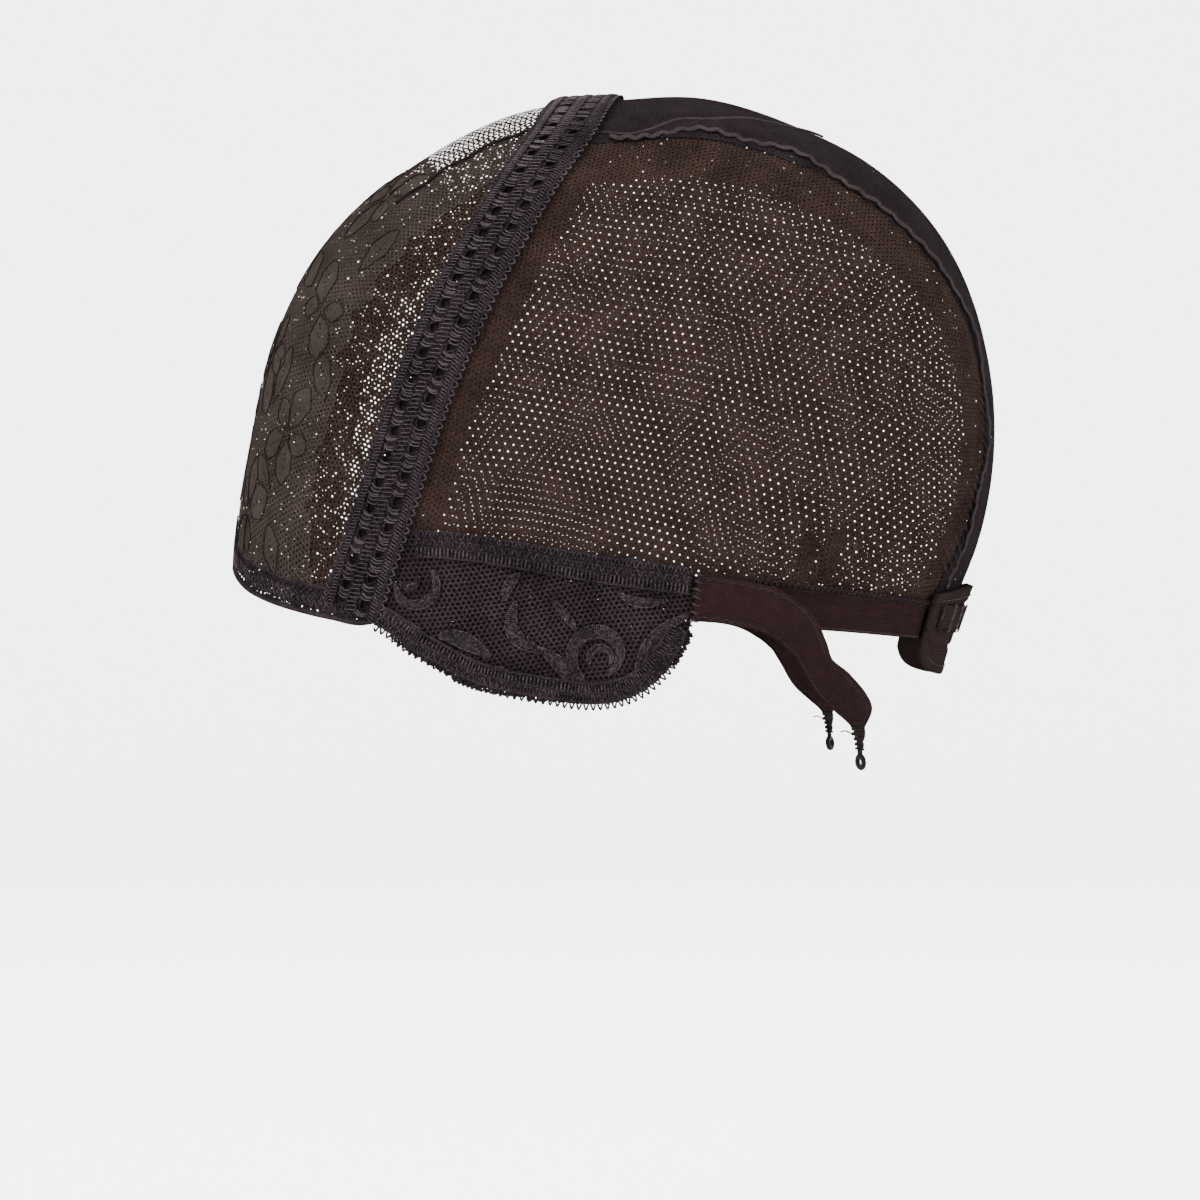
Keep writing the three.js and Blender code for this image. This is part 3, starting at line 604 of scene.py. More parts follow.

# Front lace. A floral lace is laid over the middle of the front net. Its ground is a finer net, its petals
# and leaves are worked close, and a thin raised cord follows their edges, painted dark as the shade in the
# hollow along each edge. Both side edges are scalloped.
LACE_NET = {"spacing": 1.3, "ground": 0.5, "worked": 0.16, "size": (60, 86)}
LACE_EDGE = rows("angle half", (-112, 57), (-98, 55), (-84, 58), (-70, 53), (-58, 52), (-46, 45), (-36, 41))
LACE_SCALLOP = {"pitch": 9.5, "depth": 4.5}
LACE_ARM = {"from": 41, "to": 53, "end": -6, "cord_from": -44}
SPRAYS = rows(
    "x y size petals turned",
    (-33, 17, 13, 5, 10), (32, 15, 13, 5, 44), (0, -2, 15, 6, 0), (-44, -14, 12, 4, 70),
    (43, -16, 12, 4, 20), (-20, -30, 14, 5, 35), (22, -32, 13, 5, 5), (-1, 26, 12, 5, 25),
    (-46, -44, 12, 5, 0), (45, -47, 12, 5, 60), (0, -55, 14, 6, 15), (-27, -64, 12, 5, 40),
    (28, -66, 12, 5, 80),
)
LEAVES = rows(
    "x y length turned wide",
    (-15, 15, 17, 140, 0.24), (16, 16, 16, 40, 0.26), (-25, -7, 17, 200, 0.22), (24, -9, 16, -25, 0.25),
    (-34, -32, 15, 100, 0.24), (35, -34, 15, 80, 0.22), (-50, 5, 14, 95, 0.26), (50, 3, 14, 85, 0.24),
    (-14, 38, 13, 60, 0.22), (13, 38, 13, 120, 0.24), (0, -21, 13, 90, 0.26), (-9, -42, 14, 20, 0.24),
    (11, -43, 14, 160, 0.22), (-53, -29, 13, 60, 0.26), (53, -31, 13, 120, 0.24), (-35, -55, 13, 30, 0.24),
    (36, -57, 13, 150, 0.22), (-14, -72, 12, 60, 0.26), (14, -74, 12, 120, 0.24), (-44, -72, 11, 70, 0.3),
    (44, -73, 11, 110, 0.3),
)
PETAL_WIDE = 0.33
lace_thread = yarn("brown_lace_thread", (0.0060, 0.0045, 0.0038), (0.0170, 0.0134, 0.0114), fleck=0.3)
# Painted shade: this finish is dark so that the lace cords stand for the shadow along each petal and leaf
# edge. The same finish also serves the tape backing and the hooks' winding thread.
dark_thread_and_outline_shade = yarn("dark_thread_painted_outline_shade", (0.0022, 0.0016, 0.0015), (0.0075, 0.0058, 0.0052))


def in_lace(direction):
    """Between the scalloped edges, above the hem, plus two arms that run up to the tape."""
    point = press(direction)
    angle = np.degrees(np.arctan2(point[..., 1], point[..., 2] - EAR_AXIS[2]))
    bearing, drop = bearing_and_drop(direction)
    scallop = LACE_SCALLOP["depth"] * np.abs(np.sin(np.pi * angle / LACE_SCALLOP["pitch"]))
    x = np.abs(point[..., 0])
    top = -33 - 9 * np.abs(np.sin(x / 11))
    field = (x < read(LACE_EDGE, "half", angle) - 3 + scallop) & (angle < top)
    arm = (x > LACE_ARM["from"] - scallop / 2) & (x < LACE_ARM["to"] + scallop / 2)
    arm = arm & (angle < LACE_ARM["end"])
    return (field | arm) & (drop < read(BROW, "top", bearing) + 0.6) & (before_tape(direction) > 0)


def petals():
    """The petals of every spray: leaves that point out from its middle, of uneven length and turn."""
    for spray in SPRAYS:
        for petal in range(int(spray["petals"])):
            uneven = np.sin(2.7 * petal + spray["x"])
            length = spray["size"] * (0.85 + 0.2 * uneven)
            turned = spray["turned"] + 360 * (petal + 0.16 * uneven) / spray["petals"]
            reach = 0.1 * spray["size"] + length / 2
            x = spray["x"] + reach * np.cos(np.radians(turned))
            y = spray["y"] + reach * np.sin(np.radians(turned))
            yield x, y, length, turned, PETAL_WIDE


def leaf_half(leaf, along):
    """Half width of a leaf at a share of its length: a sine, widest nearer to its tip, with small waves."""
    wave = 1 + 0.08 * np.sin(5 * np.pi * along + leaf[0])
    return leaf[4] * leaf[2] * wave * np.sin(np.pi * np.clip(along, 0, 1) ** 1.2) ** 0.8


def lace_holes(flat):
    """Open ground, and close work inside each petal and leaf, with a slit up its middle."""
    worked = np.zeros(len(flat), bool)
    for leaf in lace_leaves:
        x, y, length, turned, _ = leaf
        turned, x, y = np.radians(turned), flat[:, 0] - x, flat[:, 1] - y
        along = (x * np.cos(turned) + y * np.sin(turned)) / length + 0.5
        aside = np.abs(y * np.cos(turned) - x * np.sin(turned))
        worked |= (aside < leaf_half(leaf, along)) & (aside > 0.5 * (along < 0.7))
    return np.where(worked, LACE_NET["worked"], LACE_NET["ground"])


def lace_cords(share=np.linspace(0, 1, 25)):
    """A thin cord along both edges of each petal and leaf, where they lie on the lace. Its dark colour is
    painted shade.
    """
    cords = []
    for leaf in lace_leaves:
        for side in (-1, 1):
            x, y = (share - 0.5) * leaf[2], side * leaf_half(leaf, share)
            turned = np.radians(leaf[3])
            line = (x * np.cos(turned) - y * np.sin(turned), x * np.sin(turned) + y * np.cos(turned))
            direction = lay_front(drawn(np.stack(line, axis=-1) + leaf[:2]))
            off_lace = np.flatnonzero(~in_lace(direction))
            for run in np.split(np.arange(len(share)), np.concatenate([off_lace, off_lace + 1])):
                if len(run) > 3 and in_lace(direction[run]).all():
                    cords.append(thread_on_form(direction[run][None], 1.15, 0.11, 0.18, 4))
    return join(*cords)


lace_leaves = [*petals(), *(tuple(leaf) for leaf in LEAVES.tolist())]
arm_angle = np.linspace(LACE_ARM["cord_from"], LACE_ARM["end"] + 1, 70)
arm_edge = over_crown(arm_angle, LACE_ARM["from"] - 1.2 * np.abs(np.sin(arm_angle / 3)))
arm_cords = [thread_on_form((arm_edge * (side, 1, 1))[None], 1.5, 0.45, 0.4) for side in (1, -1)]
front_lace = make_piece(
    "front_lace_net",
    *net(LACE_NET["spacing"], LACE_NET["size"], lay_front, in_lace, lace_holes, 1.05, turned=22),
    lace_thread,
)
fit(front_lace, "lace", "front_lace")
fit(make_piece("front_lace_cords", *join(lace_cords(), *arm_cords), dark_thread_and_outline_shade), "lace")

# Brow hem. The net is turned over twice into a band 7 mm high, and stitched along both edges.
HEM_END = 50
NET_COLUMNS = "low high width lift turned spacing hole"
CORD_COLUMNS = "across lift wide high"
SWING_COLUMNS = "low high pitch lift wide phase"
HEM_LAYERS = rows(NET_COLUMNS, (0.05, 0.98, 6.4, 0.15, 9, 1.1, 0.42), (0.05, 0.98, 6.4, 0.8, 34, 1.25, 0.5))
HEM_CORDS = rows(CORD_COLUMNS, (0.03, 0.6, 0.75, 0.65), (0.96, 0.7, 0.5, 0.6))
HEM_SWINGS = rows(SWING_COLUMNS, (0.74, 0.9, 1.9, 1.2, 0.16, 0), (0.12, 0.24, 2.1, 1.1, 0.15, 0))
HEM_STITCHES = rows(SWING_COLUMNS, (0.28, 0.48, 1.9, 1.15, 0.14, 0), (0.48, 0.7, 2.3, 1.15, 0.14, 1.5))
band_thread = yarn("band_thread", (0.0024, 0.0017, 0.0019), (0.0140, 0.0106, 0.0114), fleck=0.3)
satin_thread = yarn(
    "satin_stitch_thread", (0.0048, 0.0035, 0.0040), (0.0260, 0.0200, 0.0222), 0.55, 0.01, 0.7, 0.3)
light_thread = yarn("raised_light_thread", (0.0120, 0.0095, 0.0100), (0.0340, 0.0280, 0.0295), fleck=0.3)


def between(from_direction, to_direction, share):
    """The direction at a share of the straight way from one direction to another."""
    return unit(from_direction * (1 - share) + to_direction * share)


def at_bearing(bearing, drop):
    """The direction at a bearing round from the brow and a drop below the ear axis, in degrees."""
    bearing, drop = np.radians(bearing), np.radians(drop)
    y = -np.cos(bearing) * np.cos(drop)
    return np.stack([np.sin(bearing) * np.cos(drop), y, -np.sin(drop)], axis=-1)


def rim_line(table, column):
    """A line round the rim, as a function of the bearing, which may run past the nape up to 360."""
    def line(bearing):
        """The direction at a bearing. The right side mirrors the left."""
        return at_bearing(bearing, read(table, column, 180 - np.abs(180 - np.abs(bearing))))

    return line


def band(low, high, start, end):
    """Lays a band between two lines. A place on it is millimetres along the line halfway between them,
    and the share of the way across from low to high. Also gives the band's length."""
    at = np.linspace(start, end, 300)
    length = travel(press(between(low(at), high(at), 0.5)))

    def lay(flat):
        """The directions of places on the band."""
        there = np.interp(flat[..., 0], length, at)
        return between(low(there), high(there), flat[..., 1:])

    return lay, length[-1]


def close_net(lay, length, low, high, width, lift, turned, spacing, hole):
    """Close net over a band, from place low to place high across it, which are width millimetres apart."""
    def stretch(flat):
        """The directions of the flat net's places, stretched over the band."""
        across = low + (high - low) * (flat[..., 1:] / width + 0.5)
        return lay(np.concatenate([flat[..., :1] + length / 2, across], axis=-1))

    def inside(direction):
        """All of the net stays."""
        return np.ones(len(direction), bool)

    return net(spacing, (length / 2, width / 2), stretch, inside, hole, lift, turned)


def sew(lay, places, lift, wide, high=None, sides=3):
    """Threads laid on the form through places of shape (threads, points, 2)."""
    return thread_on_form(lay(places), lift, wide, high, sides)


def zigzag(lay, length, low, high, pitch, lift, wide, phase=0.0, points=7):
    """One thread that swings across from low to high and back in each pitch, as a sine of its place
    along."""
    along = np.linspace(0, length, int(length / pitch * points))
    across = (low + high) / 2 + (high - low) / 2 * np.sin(2 * np.pi * along / pitch + phase)
    return sew(lay, np.stack([along, across], axis=-1)[None], lift, wide)


def rungs(lay, length, low, high, pitch, lift, wide, arch=0.25, slant=0.0):
    """Short threads across a band, a pitch apart, each raised as an arch and slanting along the band."""
    share = np.linspace(0, 1, 5)
    along = np.arange(pitch / 2, length, pitch)[:, None] + slant * (share - 0.5)
    across = np.broadcast_to(low + (high - low) * share, along.shape)
    return sew(lay, np.stack([along, across], axis=-1), lift + arch * np.sin(np.pi * share), wide)


def edge_cord(lay, length, across, lift, wide, high, step=1.5):
    """A cord along a band at one place across it."""
    along = np.linspace(0, length, int(length / step))
    return sew(lay, np.stack([along, np.full(len(along), across)], axis=-1)[None], lift, wide, high, 8)


def laid_along(make, place, table):
    """The threads or nets that run along a band or a trimming, one for each row of a table."""
    return [make(*place, *values) for values in table.tolist()]


hem_band = band(rim_line(BROW, "low"), rim_line(BROW, "top"), -HEM_END, HEM_END)
hem = join(
    *laid_along(close_net, hem_band, HEM_LAYERS), *laid_along(edge_cord, hem_band, HEM_CORDS),
    *laid_along(zigzag, hem_band, HEM_SWINGS),
)
fit(make_piece("brow_hem", *hem, band_thread), "tape", "front_hem")
hem_stitches = join(*laid_along(zigzag, hem_band, HEM_STITCHES))
fit(make_piece("brow_hem_stitches", *hem_stitches, satin_thread), "tape")

# Crown tape. A trimming 15 mm wide, crocheted of thick thread, is sewn over the joint of the front and side
# nets from one ear to the other. It has two staggered rows of openings with lighter bars beside them.
TAPE = {"half": 7.7, "end": 126, "lift": 2.0, "thick": 0.9}
OPENING = {"pitch": 6.4, "row": 3.1, "half_long": 1.6, "half_wide": 1.1}
OPENING_RINGS = rows("size lift", (1.45, 0.15), (1.12, 0.42), (1, -0.25))
tape_thread = yarn("dark_crocheted_thread", (0.0018, 0.0013, 0.0015), (0.0130, 0.0096, 0.0108), relief=0.25)


def beside(line, at, offset):
    """The direction that lies a distance to the right of a line's travel, seen from outside."""
    here = press(line(at))
    right = unit(np.cross(press(line(at + 0.5)) - press(line(at - 0.5)), press(line(at), 1) - here))
    return unit(here + offset * right - EAR_AXIS)


def trim(line, start, end):
    """Lays a trimming along a line. A place on it is millimetres along the line and millimetres to its
    right. Also gives the line's length."""
    at = np.linspace(start, end, 400)
    length = travel(press(line(at)))

    def lay(flat):
        """The directions of places on the trimming."""
        return beside(line, np.interp(flat[..., 0], length, at), flat[..., 1:])

    return lay, length[-1]


def tape_line(turn):
    """The tape's centre line, as a function of the turn over the crown."""
    turn, lean = np.radians(turn), np.radians(read(TAPE_LINE, "lean", np.abs(turn)))
    return np.stack([np.sin(turn) * np.cos(lean), -np.sin(lean), np.cos(turn) * np.cos(lean)], axis=-1)


def weld(points, faces, grain=0.002):
    """The same mesh with points closer than the grain made one."""
    cells = np.round(points / grain).astype(np.int64)
    _, first, same = np.unique(cells, axis=0, return_index=True, return_inverse=True)
    return points[first], [same.reshape(-1)[group] for group in faces]


def pierced(lay, length):
    """The tape's cloth: cells in two rows, half a cell apart, each with rings of 16 points from its
    four-sided border in to its oval opening. The ring beside the opening stands up as a rim."""
    corner = np.array([(-1, -1), (0, -1), (1, -1), (1, 0), (1, 1), (0, 1), (-1, 1), (-1, 0)], float)
    border = np.stack([corner, (corner + np.roll(corner, -1, 0)) / 2], axis=1).reshape(-1, 2)
    around = np.arctan2(border[:, 1], border[:, 0])
    oval = np.stack([OPENING["half_long"] * np.cos(around), OPENING["half_wide"] * np.sin(around)], axis=-1)
    count = int(length / OPENING["pitch"])
    pitch = length / count
    cells = []
    for side in (-1, 1):
        along = pitch * np.arange(count - (side > 0)) + (pitch / 2 if side < 0 else pitch)
        centre = np.stack([along, np.zeros(len(along))], axis=-1)
        outer = border * (pitch / 2, TAPE["half"] / 2) + (0, side * TAPE["half"] / 2)
        shift = (0, side * OPENING["row"])
        ring = [outer, *(oval * size + shift for size in OPENING_RINGS["size"])]
        cells.append(centre[:, None, None] + np.array(ring))
    cells = np.concatenate(cells)
    lift = TAPE["lift"] + np.append(0, OPENING_RINGS["lift"])[:, None] + np.zeros(16)
    points = press(lay(cells), np.broadcast_to(lift, cells.shape[:-1])).reshape(-1, 3)
    ring = np.arange(16)
    quads = []
    for level in range(3):
        outer, inner = 16 * level + ring, 16 * (level + 1) + ring
        quads.append(np.stack([outer, np.roll(outer, -1), np.roll(inner, -1), inner], axis=-1))
    quads = np.concatenate(quads) + 64 * np.arange(len(cells))[:, None, None]
    return weld(points, [quads.reshape(-1, 4)[:, ::-1]])


def thicken(piece, thickness):
    """Gives an open cloth its thickness, inwards."""
    solid = piece.modifiers.new("thickness", "SOLIDIFY")
    solid.thickness = thickness * MILLIMETRE
    solid.offset = -1


tape_trim = trim(tape_line, -TAPE["end"], TAPE["end"])
tape_cloth = make_piece("crown_tape_cloth", *pierced(*tape_trim), tape_thread)
thicken(tape_cloth, TAPE["thick"])
fit(tape_cloth, "tape", "crown_tape")
tape_pitch = tape_trim[1] / int(tape_trim[1] / OPENING["pitch"])
tape_threads = [
    zigzag(*tape_trim, -1.5, 1.5, tape_pitch, 2.5, 0.36, 0.0, 10),
    zigzag(*tape_trim, -1.5, 1.5, tape_pitch, 2.5, 0.36, np.pi, 10),
]
for side in (-1, 1):
    tape_threads += [
        zigzag(*tape_trim, side * 4.9, side * 6.5, tape_pitch / 3, 2.5, 0.33, 0.0, 7),
        zigzag(*tape_trim, side * 4.9, side * 6.5, tape_pitch / 3, 2.6, 0.33, np.pi, 7),
        edge_cord(*tape_trim, side * 6.9, 2.35, 0.42, 0.5),
        zigzag(*tape_trim, side * 6.9, side * 8.2, tape_pitch / 3, 2.2, 0.29, 0.6, 8),
        zigzag(*tape_trim, side * 1.4, side * 5, tape_pitch, 2.35, 0.33, side, 10),
    ]
fit(make_piece("crown_tape_crochet", *join(*tape_threads), tape_thread), "tape")
tape_backing = close_net(*tape_trim, -7.2, 7.2, 14.4, 1.2, 12, 1.6, 0.2)
fit(make_piece("crown_tape_backing", *tape_backing, dark_thread_and_outline_shade), "tape")
bars = []
for side in (-1, 1):
    centre = np.arange(tape_pitch if side > 0 else tape_pitch / 2, tape_trim[1], tape_pitch)
    place = (centre[:, None] + np.array([-2.7, -2.1, -1.5, 1.5, 2.1, 2.7])).reshape(-1, 1)
    share = np.linspace(0, 1, 5)
    along = place + 0.5 * np.sin(np.pi * share) + 0.3 * np.sin(place * 2.7)
    across = side * (1.6 + 0.3 * np.sin(place * 1.9) + 3.1 * share)
    arch = 2.45 + 0.35 * np.sin(np.pi * share)
    bars.append(sew(tape_trim[0], np.stack([along, across], axis=-1), arch, 0.19))
    bars.append(zigzag(*tape_trim, side * 7.1, side * 8.3, tape_pitch / 3, 2.35, 0.15, 0.9, 8))
    bars.append(rungs(*tape_trim, side * 5.0, side * 6.6, 0.8, 2.75, 0.13, 0.15, 0.5))
bars.append(rungs(*tape_trim, -1.2, 1.2, 1.05, 2.75, 0.13, 0.2, 0.7))
fit(make_piece("crown_tape_bars", *join(*bars), light_thread), "tape")

# Ear tabs. Lace with a round-meshed ground is laid over close net. Its scrolls and leaves are filled with
# satin stitches in a lighter thread and edged with a cord. Both tabs are alike.
TAB_START = {"low": 47, "top": 51}
TAB_GROUND = {"spacing": 1.25, "hole": 0.62}
TAB_BACKING = {"spacing": 1.3, "hole": 0.12}
TAB_BOX = {"y": (-62, 21), "z": (-156, -108)}
SCROLLS = rows(
    "y z size start turned width",
    (-47.5, -120.6, 5.4, 35, -215, 2.3), (-49, -119, 2.6, 0, -150, 1.4), (-4.2, -137.6, 6.1, 235, -300, 3.0),
    (-3.4, -138.4, 2.9, 200, -230, 1.5), (-27.5, -145, 4, 160, -150, 2.2),
)
BRANCHES = rows(
    "y z by bz to_y to_z width",
    (-23.5, -125, -27.5, -134.5, -16.5, -136.5, 3.3), (-17.5, -136, -11, -141, -6, -146.5, 3.6),
    (5, -141, 7, -132.5, 16.8, -128, 2.8), (-41.5, -133, -36, -132.5, -29.5, -138, 3.8),
    (-22.5, -118.3, -25.5, -120, -26.2, -124.5, 2.4), (-20, -144, -14, -148.5, -6, -149.5, 2.6),
    (-37, -139, -31, -144, -24, -145.5, 2.6), (9, -139, 12.5, -136.5, 15.5, -133, 2.4),
    (1, -123, 5, -126.5, 12, -124.5, 2.2), (-56, -125.5, -52, -130, -46, -131.5, 2.6),
    (-15, -124.5, -11, -128.5, -9.5, -131.5, 1.9),
)
tab_thread = yarn("tab_lace_thread", (0.0036, 0.0024, 0.0029), (0.0130, 0.0094, 0.0106), fleck=0.3)
backing_thread = yarn("tab_backing_thread", (0.0016, 0.0011, 0.0013), (0.0042, 0.0030, 0.0034))


def seen_from_side(flat):
    """The direction of the point of the form that has these y and z, on the wearer's left: x follows from
    (x / half breadth)^p = 1 - (r / reach)^p."""
    y, z = flat[..., 0], flat[..., 1] - EAR_AXIS[2]
    reach = read(CAP_OUTLINE, "reach", np.degrees(np.arctan2(y, z)))
    share = np.clip(1 - (np.hypot(y, z) / reach) ** SQUARENESS, 0.0001, 1)
    return unit(np.stack([HALF_BREADTH * share ** (1 / SQUARENESS), y, z], axis=-1))


def in_tab(direction, inset=0.4):
    """Between the tab's upper and lower edge, behind its slanting front edge, before its end."""
    bearing, drop = bearing_and_drop(direction)
    top, low = read(EAR_TAB, "top", bearing), read(EAR_TAB, "low", bearing)
    share = (low - drop) / (low - top)
    start = TAB_START["low"] + (TAB_START["top"] - TAB_START["low"]) * share
    return (drop > top - inset) & (drop < low - inset) & (bearing > start) & (bearing < 104.7)


def lay_tab(flat):
    """Lays a flat cloth over the tab, centred on its box."""
    centre = [np.mean(TAB_BOX["y"]), np.mean(TAB_BOX["z"])]
    return seen_from_side(flat + centre)


def satin(line, half):
    """Stitches across a line of places, each as long as twice the half width there, raised in the middle,
    and a cord along both edges."""
    tangent = unit(np.gradient(line, axis=0))
    across = np.stack([-tangent[:, 1], tangent[:, 0]], axis=-1)
    share = np.linspace(-1, 1, 5)
    stitches = line[:, None] + across[:, None] * (half[:, None] * share)[..., None]
    edges = np.stack([line + across * half[:, None], line - across * half[:, None]])
    height = 1.5 + 0.45 * (1 - share**2)
    keep = in_tab(seen_from_side(stitches)).all(axis=1)
    filled = sew(seen_from_side, stitches[keep], height, 0.16)
    if not keep.all():
        return [filled]
    return [filled, sew(seen_from_side, edges, 1.7, 0.16)]


def motif_lines(stitch=0.4):
    """Scrolls are arcs that close in on their centre by a quarter. Branches are curves through a bend,
    (1-t)^2 a + 2 t (1-t) b + t^2 c. Both are widest in the middle, as a sine of the place along them."""
    for scroll in SCROLLS:
        share = np.linspace(0, 1, int(np.radians(abs(scroll["turned"])) * scroll["size"] / stitch))
        angle = np.radians(scroll["start"] + scroll["turned"] * share)
        radius = scroll["size"] * (1 - 0.25 * share**2)
        line = radius[:, None] * np.stack([np.cos(angle), np.sin(angle)], axis=-1)
        line = line + (scroll["y"], scroll["z"])
        yield line, scroll["width"] / 2 * (0.3 + 0.7 * np.sin(np.pi * share**0.8))
    for branch in BRANCHES:
        y, z, by, bz, to_y, to_z, width = branch
        t = np.linspace(0, 1, int(1.1 * np.hypot(to_y - y, to_z - z) / stitch))[:, None]
        line = (1 - t) ** 2 * (y, z) + 2 * t * (1 - t) * np.array((by, bz)) + t**2 * (to_y, to_z)
        yield line, width / 2 * np.sin(np.pi * (0.08 + 0.84 * t[:, 0]))


tab_size = (np.ptp(TAB_BOX["y"]) / 2, np.ptp(TAB_BOX["z"]) / 2)
tab_ground = net(
    TAB_GROUND["spacing"], tab_size, lay_tab, in_tab, TAB_GROUND["hole"], 1.0, 8)
tab_backing = net(TAB_BACKING["spacing"], tab_size, lay_tab, in_tab, TAB_BACKING["hole"], 0.7, 24)
tab_motifs = join(*(mesh for line, half in motif_lines() for mesh in satin(line, half)))
both_sides("ear_tab_{}_backing", tab_backing, backing_thread, "lace")
both_sides("ear_tab_{}_lace", tab_ground, tab_thread, "lace", "ear_tab_{}")
both_sides("ear_tab_{}_satin", tab_motifs, satin_thread, "lace")

# Tab bindings and edgings. A close net band covers the joint of each tab and side net, with a row of upright
# stitches along its lower side. A knitted edging with small loops goes round the tab's lower edge.
BINDING = {"start": 56, "end": 103.7}
BINDING_LAYERS = rows(NET_COLUMNS, (5.2, -1, 6.2, 1.6, 9, 1.1, 0.42), (5.2, -1, 6.2, 1.2, 31, 1.2, 0.3))
BINDING_SWINGS = rows(
    SWING_COLUMNS,
    (-0.9, 1, 1.8, 2.1, 0.24, 0), (-0.9, 1, 1.8, 2.1, 0.24, np.pi),
    (1, 2.9, 1.8, 2.1, 0.24, 0), (1, 2.9, 1.8, 2.1, 0.24, np.pi),
)
BINDING_CORDS = rows(CORD_COLUMNS, (3.1, 2, 0.25, 0.3), (5.3, 2, 0.3, 0.35))
BINDING_STITCHES = rows(SWING_COLUMNS, (-0.8, 0.9, 1.8, 2.32, 0.12, 0.5), (1.1, 2.8, 1.8, 2.32, 0.12, 2))
EDGING = {"start": 48, "end": 103.9}
EDGING_LAYERS = rows(NET_COLUMNS, (0.2, -5.8, 6, 1.6, 3, 1.1, 0.42), (0.2, -5.8, 6, 1.2, 31, 1.2, 0.3))
EDGING_SWINGS = rows(SWING_COLUMNS, (-3.4, -1.5, 1.5, 2.1, 0.28, 0), (-3.4, -1.5, 1.5, 2.1, 0.28, np.pi))
EDGING_CORDS = rows(CORD_COLUMNS, (-5.9, 2, 0.4, 0.45), (-3.6, 2, 0.35, 0.4), (-1.4, 2, 0.4, 0.45))
binding = trim(rim_line(EAR_TAB, "top"), BINDING["start"], BINDING["end"])
edging = trim(rim_line(EAR_TAB, "low"), EDGING["start"], EDGING["end"])
bound = join(
    *laid_along(close_net, binding, BINDING_LAYERS), *laid_along(zigzag, binding, BINDING_SWINGS),
    *laid_along(edge_cord, binding, BINDING_CORDS),
)
bound_stitches = join(
    rungs(*binding, 3.1, 5.2, 0.95, 2.1, 0.22), *laid_along(zigzag, binding, BINDING_STITCHES))
edged = join(
    *laid_along(close_net, edging, EDGING_LAYERS), *laid_along(zigzag, edging, EDGING_SWINGS),
    *laid_along(edge_cord, edging, EDGING_CORDS), zigzag(*edging, -1.3, 0.4, 1.7, 1.9, 0.3, 0, 10),
)
edged_stitches = join(
    rungs(*edging, -5.7, -3.7, 0.9, 2.1, 0.22), zigzag(*edging, -3.3, -1.6, 1.5, 2.35, 0.13, 0.5),
)
both_sides("tab_binding_{}_band", bound, band_thread, "tape", "tab_binding_{}")
both_sides("tab_binding_{}_stitches", bound_stitches, satin_thread, "tape")
both_sides("tab_edging_{}_knit", edged, band_thread, "tape", "tab_edging_{}")
both_sides("tab_edging_{}_stitches", edged_stitches, satin_thread, "tape")

# Nape elastic. A flat woven elastic 10 mm wide goes round the nape from tab to tab. The net is turned over
# its upper edge into a small roll and double-stitched, and a woven rib runs along its lower edge.
ELASTIC = {"start": 104.7, "thick": 1.1}
ELASTIC_SWELLS = rows("at wide height", (0.92, 0.05, 0.45), (0.05, 0.04, 0.15), (0.84, 0.02, -0.2))


def slab(outer, inner, cloth=None):
    """A closed sheet from two grids of points, outer and inner, of the same shape, and its cloth places."""
    count_rows, count_columns = outer.shape[:2]
    size = count_rows * count_columns
    faces = grid_faces(count_rows, count_columns)
    index = np.arange(size).reshape(count_rows, count_columns)
    ring = np.concatenate([index[0], index[1:, -1], index[-1, -2::-1], index[-2:0:-1, 0]])
    after = np.roll(ring, -1)
    walls = np.stack([ring, ring + size, after + size, after], axis=-1)
    points = np.concatenate([outer.reshape(-1, 3), inner.reshape(-1, 3)])
    if cloth is None:
        return points, [faces, faces[:, ::-1] + size, walls]
    return points, [faces, faces[:, ::-1] + size, walls], np.concatenate([cloth.reshape(-1, 2)] * 2)


WEAVE = {"relief": 0.12, "rib_share": 0.65, "groove_shade_share": 0.55, "wear_size": 0.35, "wear_share": 0.6}


def woven(name, dark, light, rib, pick):
    """Woven tape. Ribs run along it and picks across it: the height is a weighted sum of two sines of the
    cloth place, a rib and a pick apart in millimetres. The colour follows the height, as painted shade in
    the grooves and painted light on the crowns, and a broad wear."""
    material, nodes, links, tone, height = dyed(name, dark, light, 0.6, WEAVE["relief"])
    place, parts, worn = (nodes.new(f"ShaderNode{kind}") for kind in ("UVMap", "SeparateXYZ", "TexNoise"))
    place.uv_map = "cloth"
    worn.inputs["Scale"].default_value = WEAVE["wear_size"]
    worn.inputs["Detail"].default_value = 4
    for target in (parts, worn):
        links.new(place.outputs["UV"], target.inputs["Vector"])

    def math(operation, *values):
        """The output of a math node. Each value is a number or another node's output."""
        node = nodes.new("ShaderNodeMath")
        node.operation = operation
        for socket, value in zip(node.inputs, values):
            if isinstance(value, (int, float)):
                socket.default_value = value
            else:
                links.new(value, socket)
        return node.outputs[0]

    def ripple(place_along, pitch):
        """Half of one plus a sine that comes round once in each pitch."""
        return math("MULTIPLY_ADD", math("SINE", math("MULTIPLY", place_along, 2 * np.pi / pitch)), 0.5, 0.5)

    ribs = math("MULTIPLY", ripple(parts.outputs["Y"], rib), WEAVE["rib_share"])
    cloth_height = math("MULTIPLY_ADD", ripple(parts.outputs["X"], pick), 1 - WEAVE["rib_share"], ribs)
    wear = math("MULTIPLY", worn.outputs["Fac"], WEAVE["wear_share"])
    # Painted shade: the colour darkens with the cloth's height, in the grooves between ribs and picks.
    links.new(math("MULTIPLY_ADD", cloth_height, WEAVE["groove_shade_share"], wear), tone)
    links.new(cloth_height, height)
    return material


elastic_cloth = woven("woven_elastic", (0.0022, 0.0012, 0.0012), (0.0090, 0.0048, 0.0050), 0.62, 0.4)
nape_band = band(rim_line(NAPE, "low"), rim_line(NAPE, "top"), ELASTIC["start"], 360 - ELASTIC["start"])


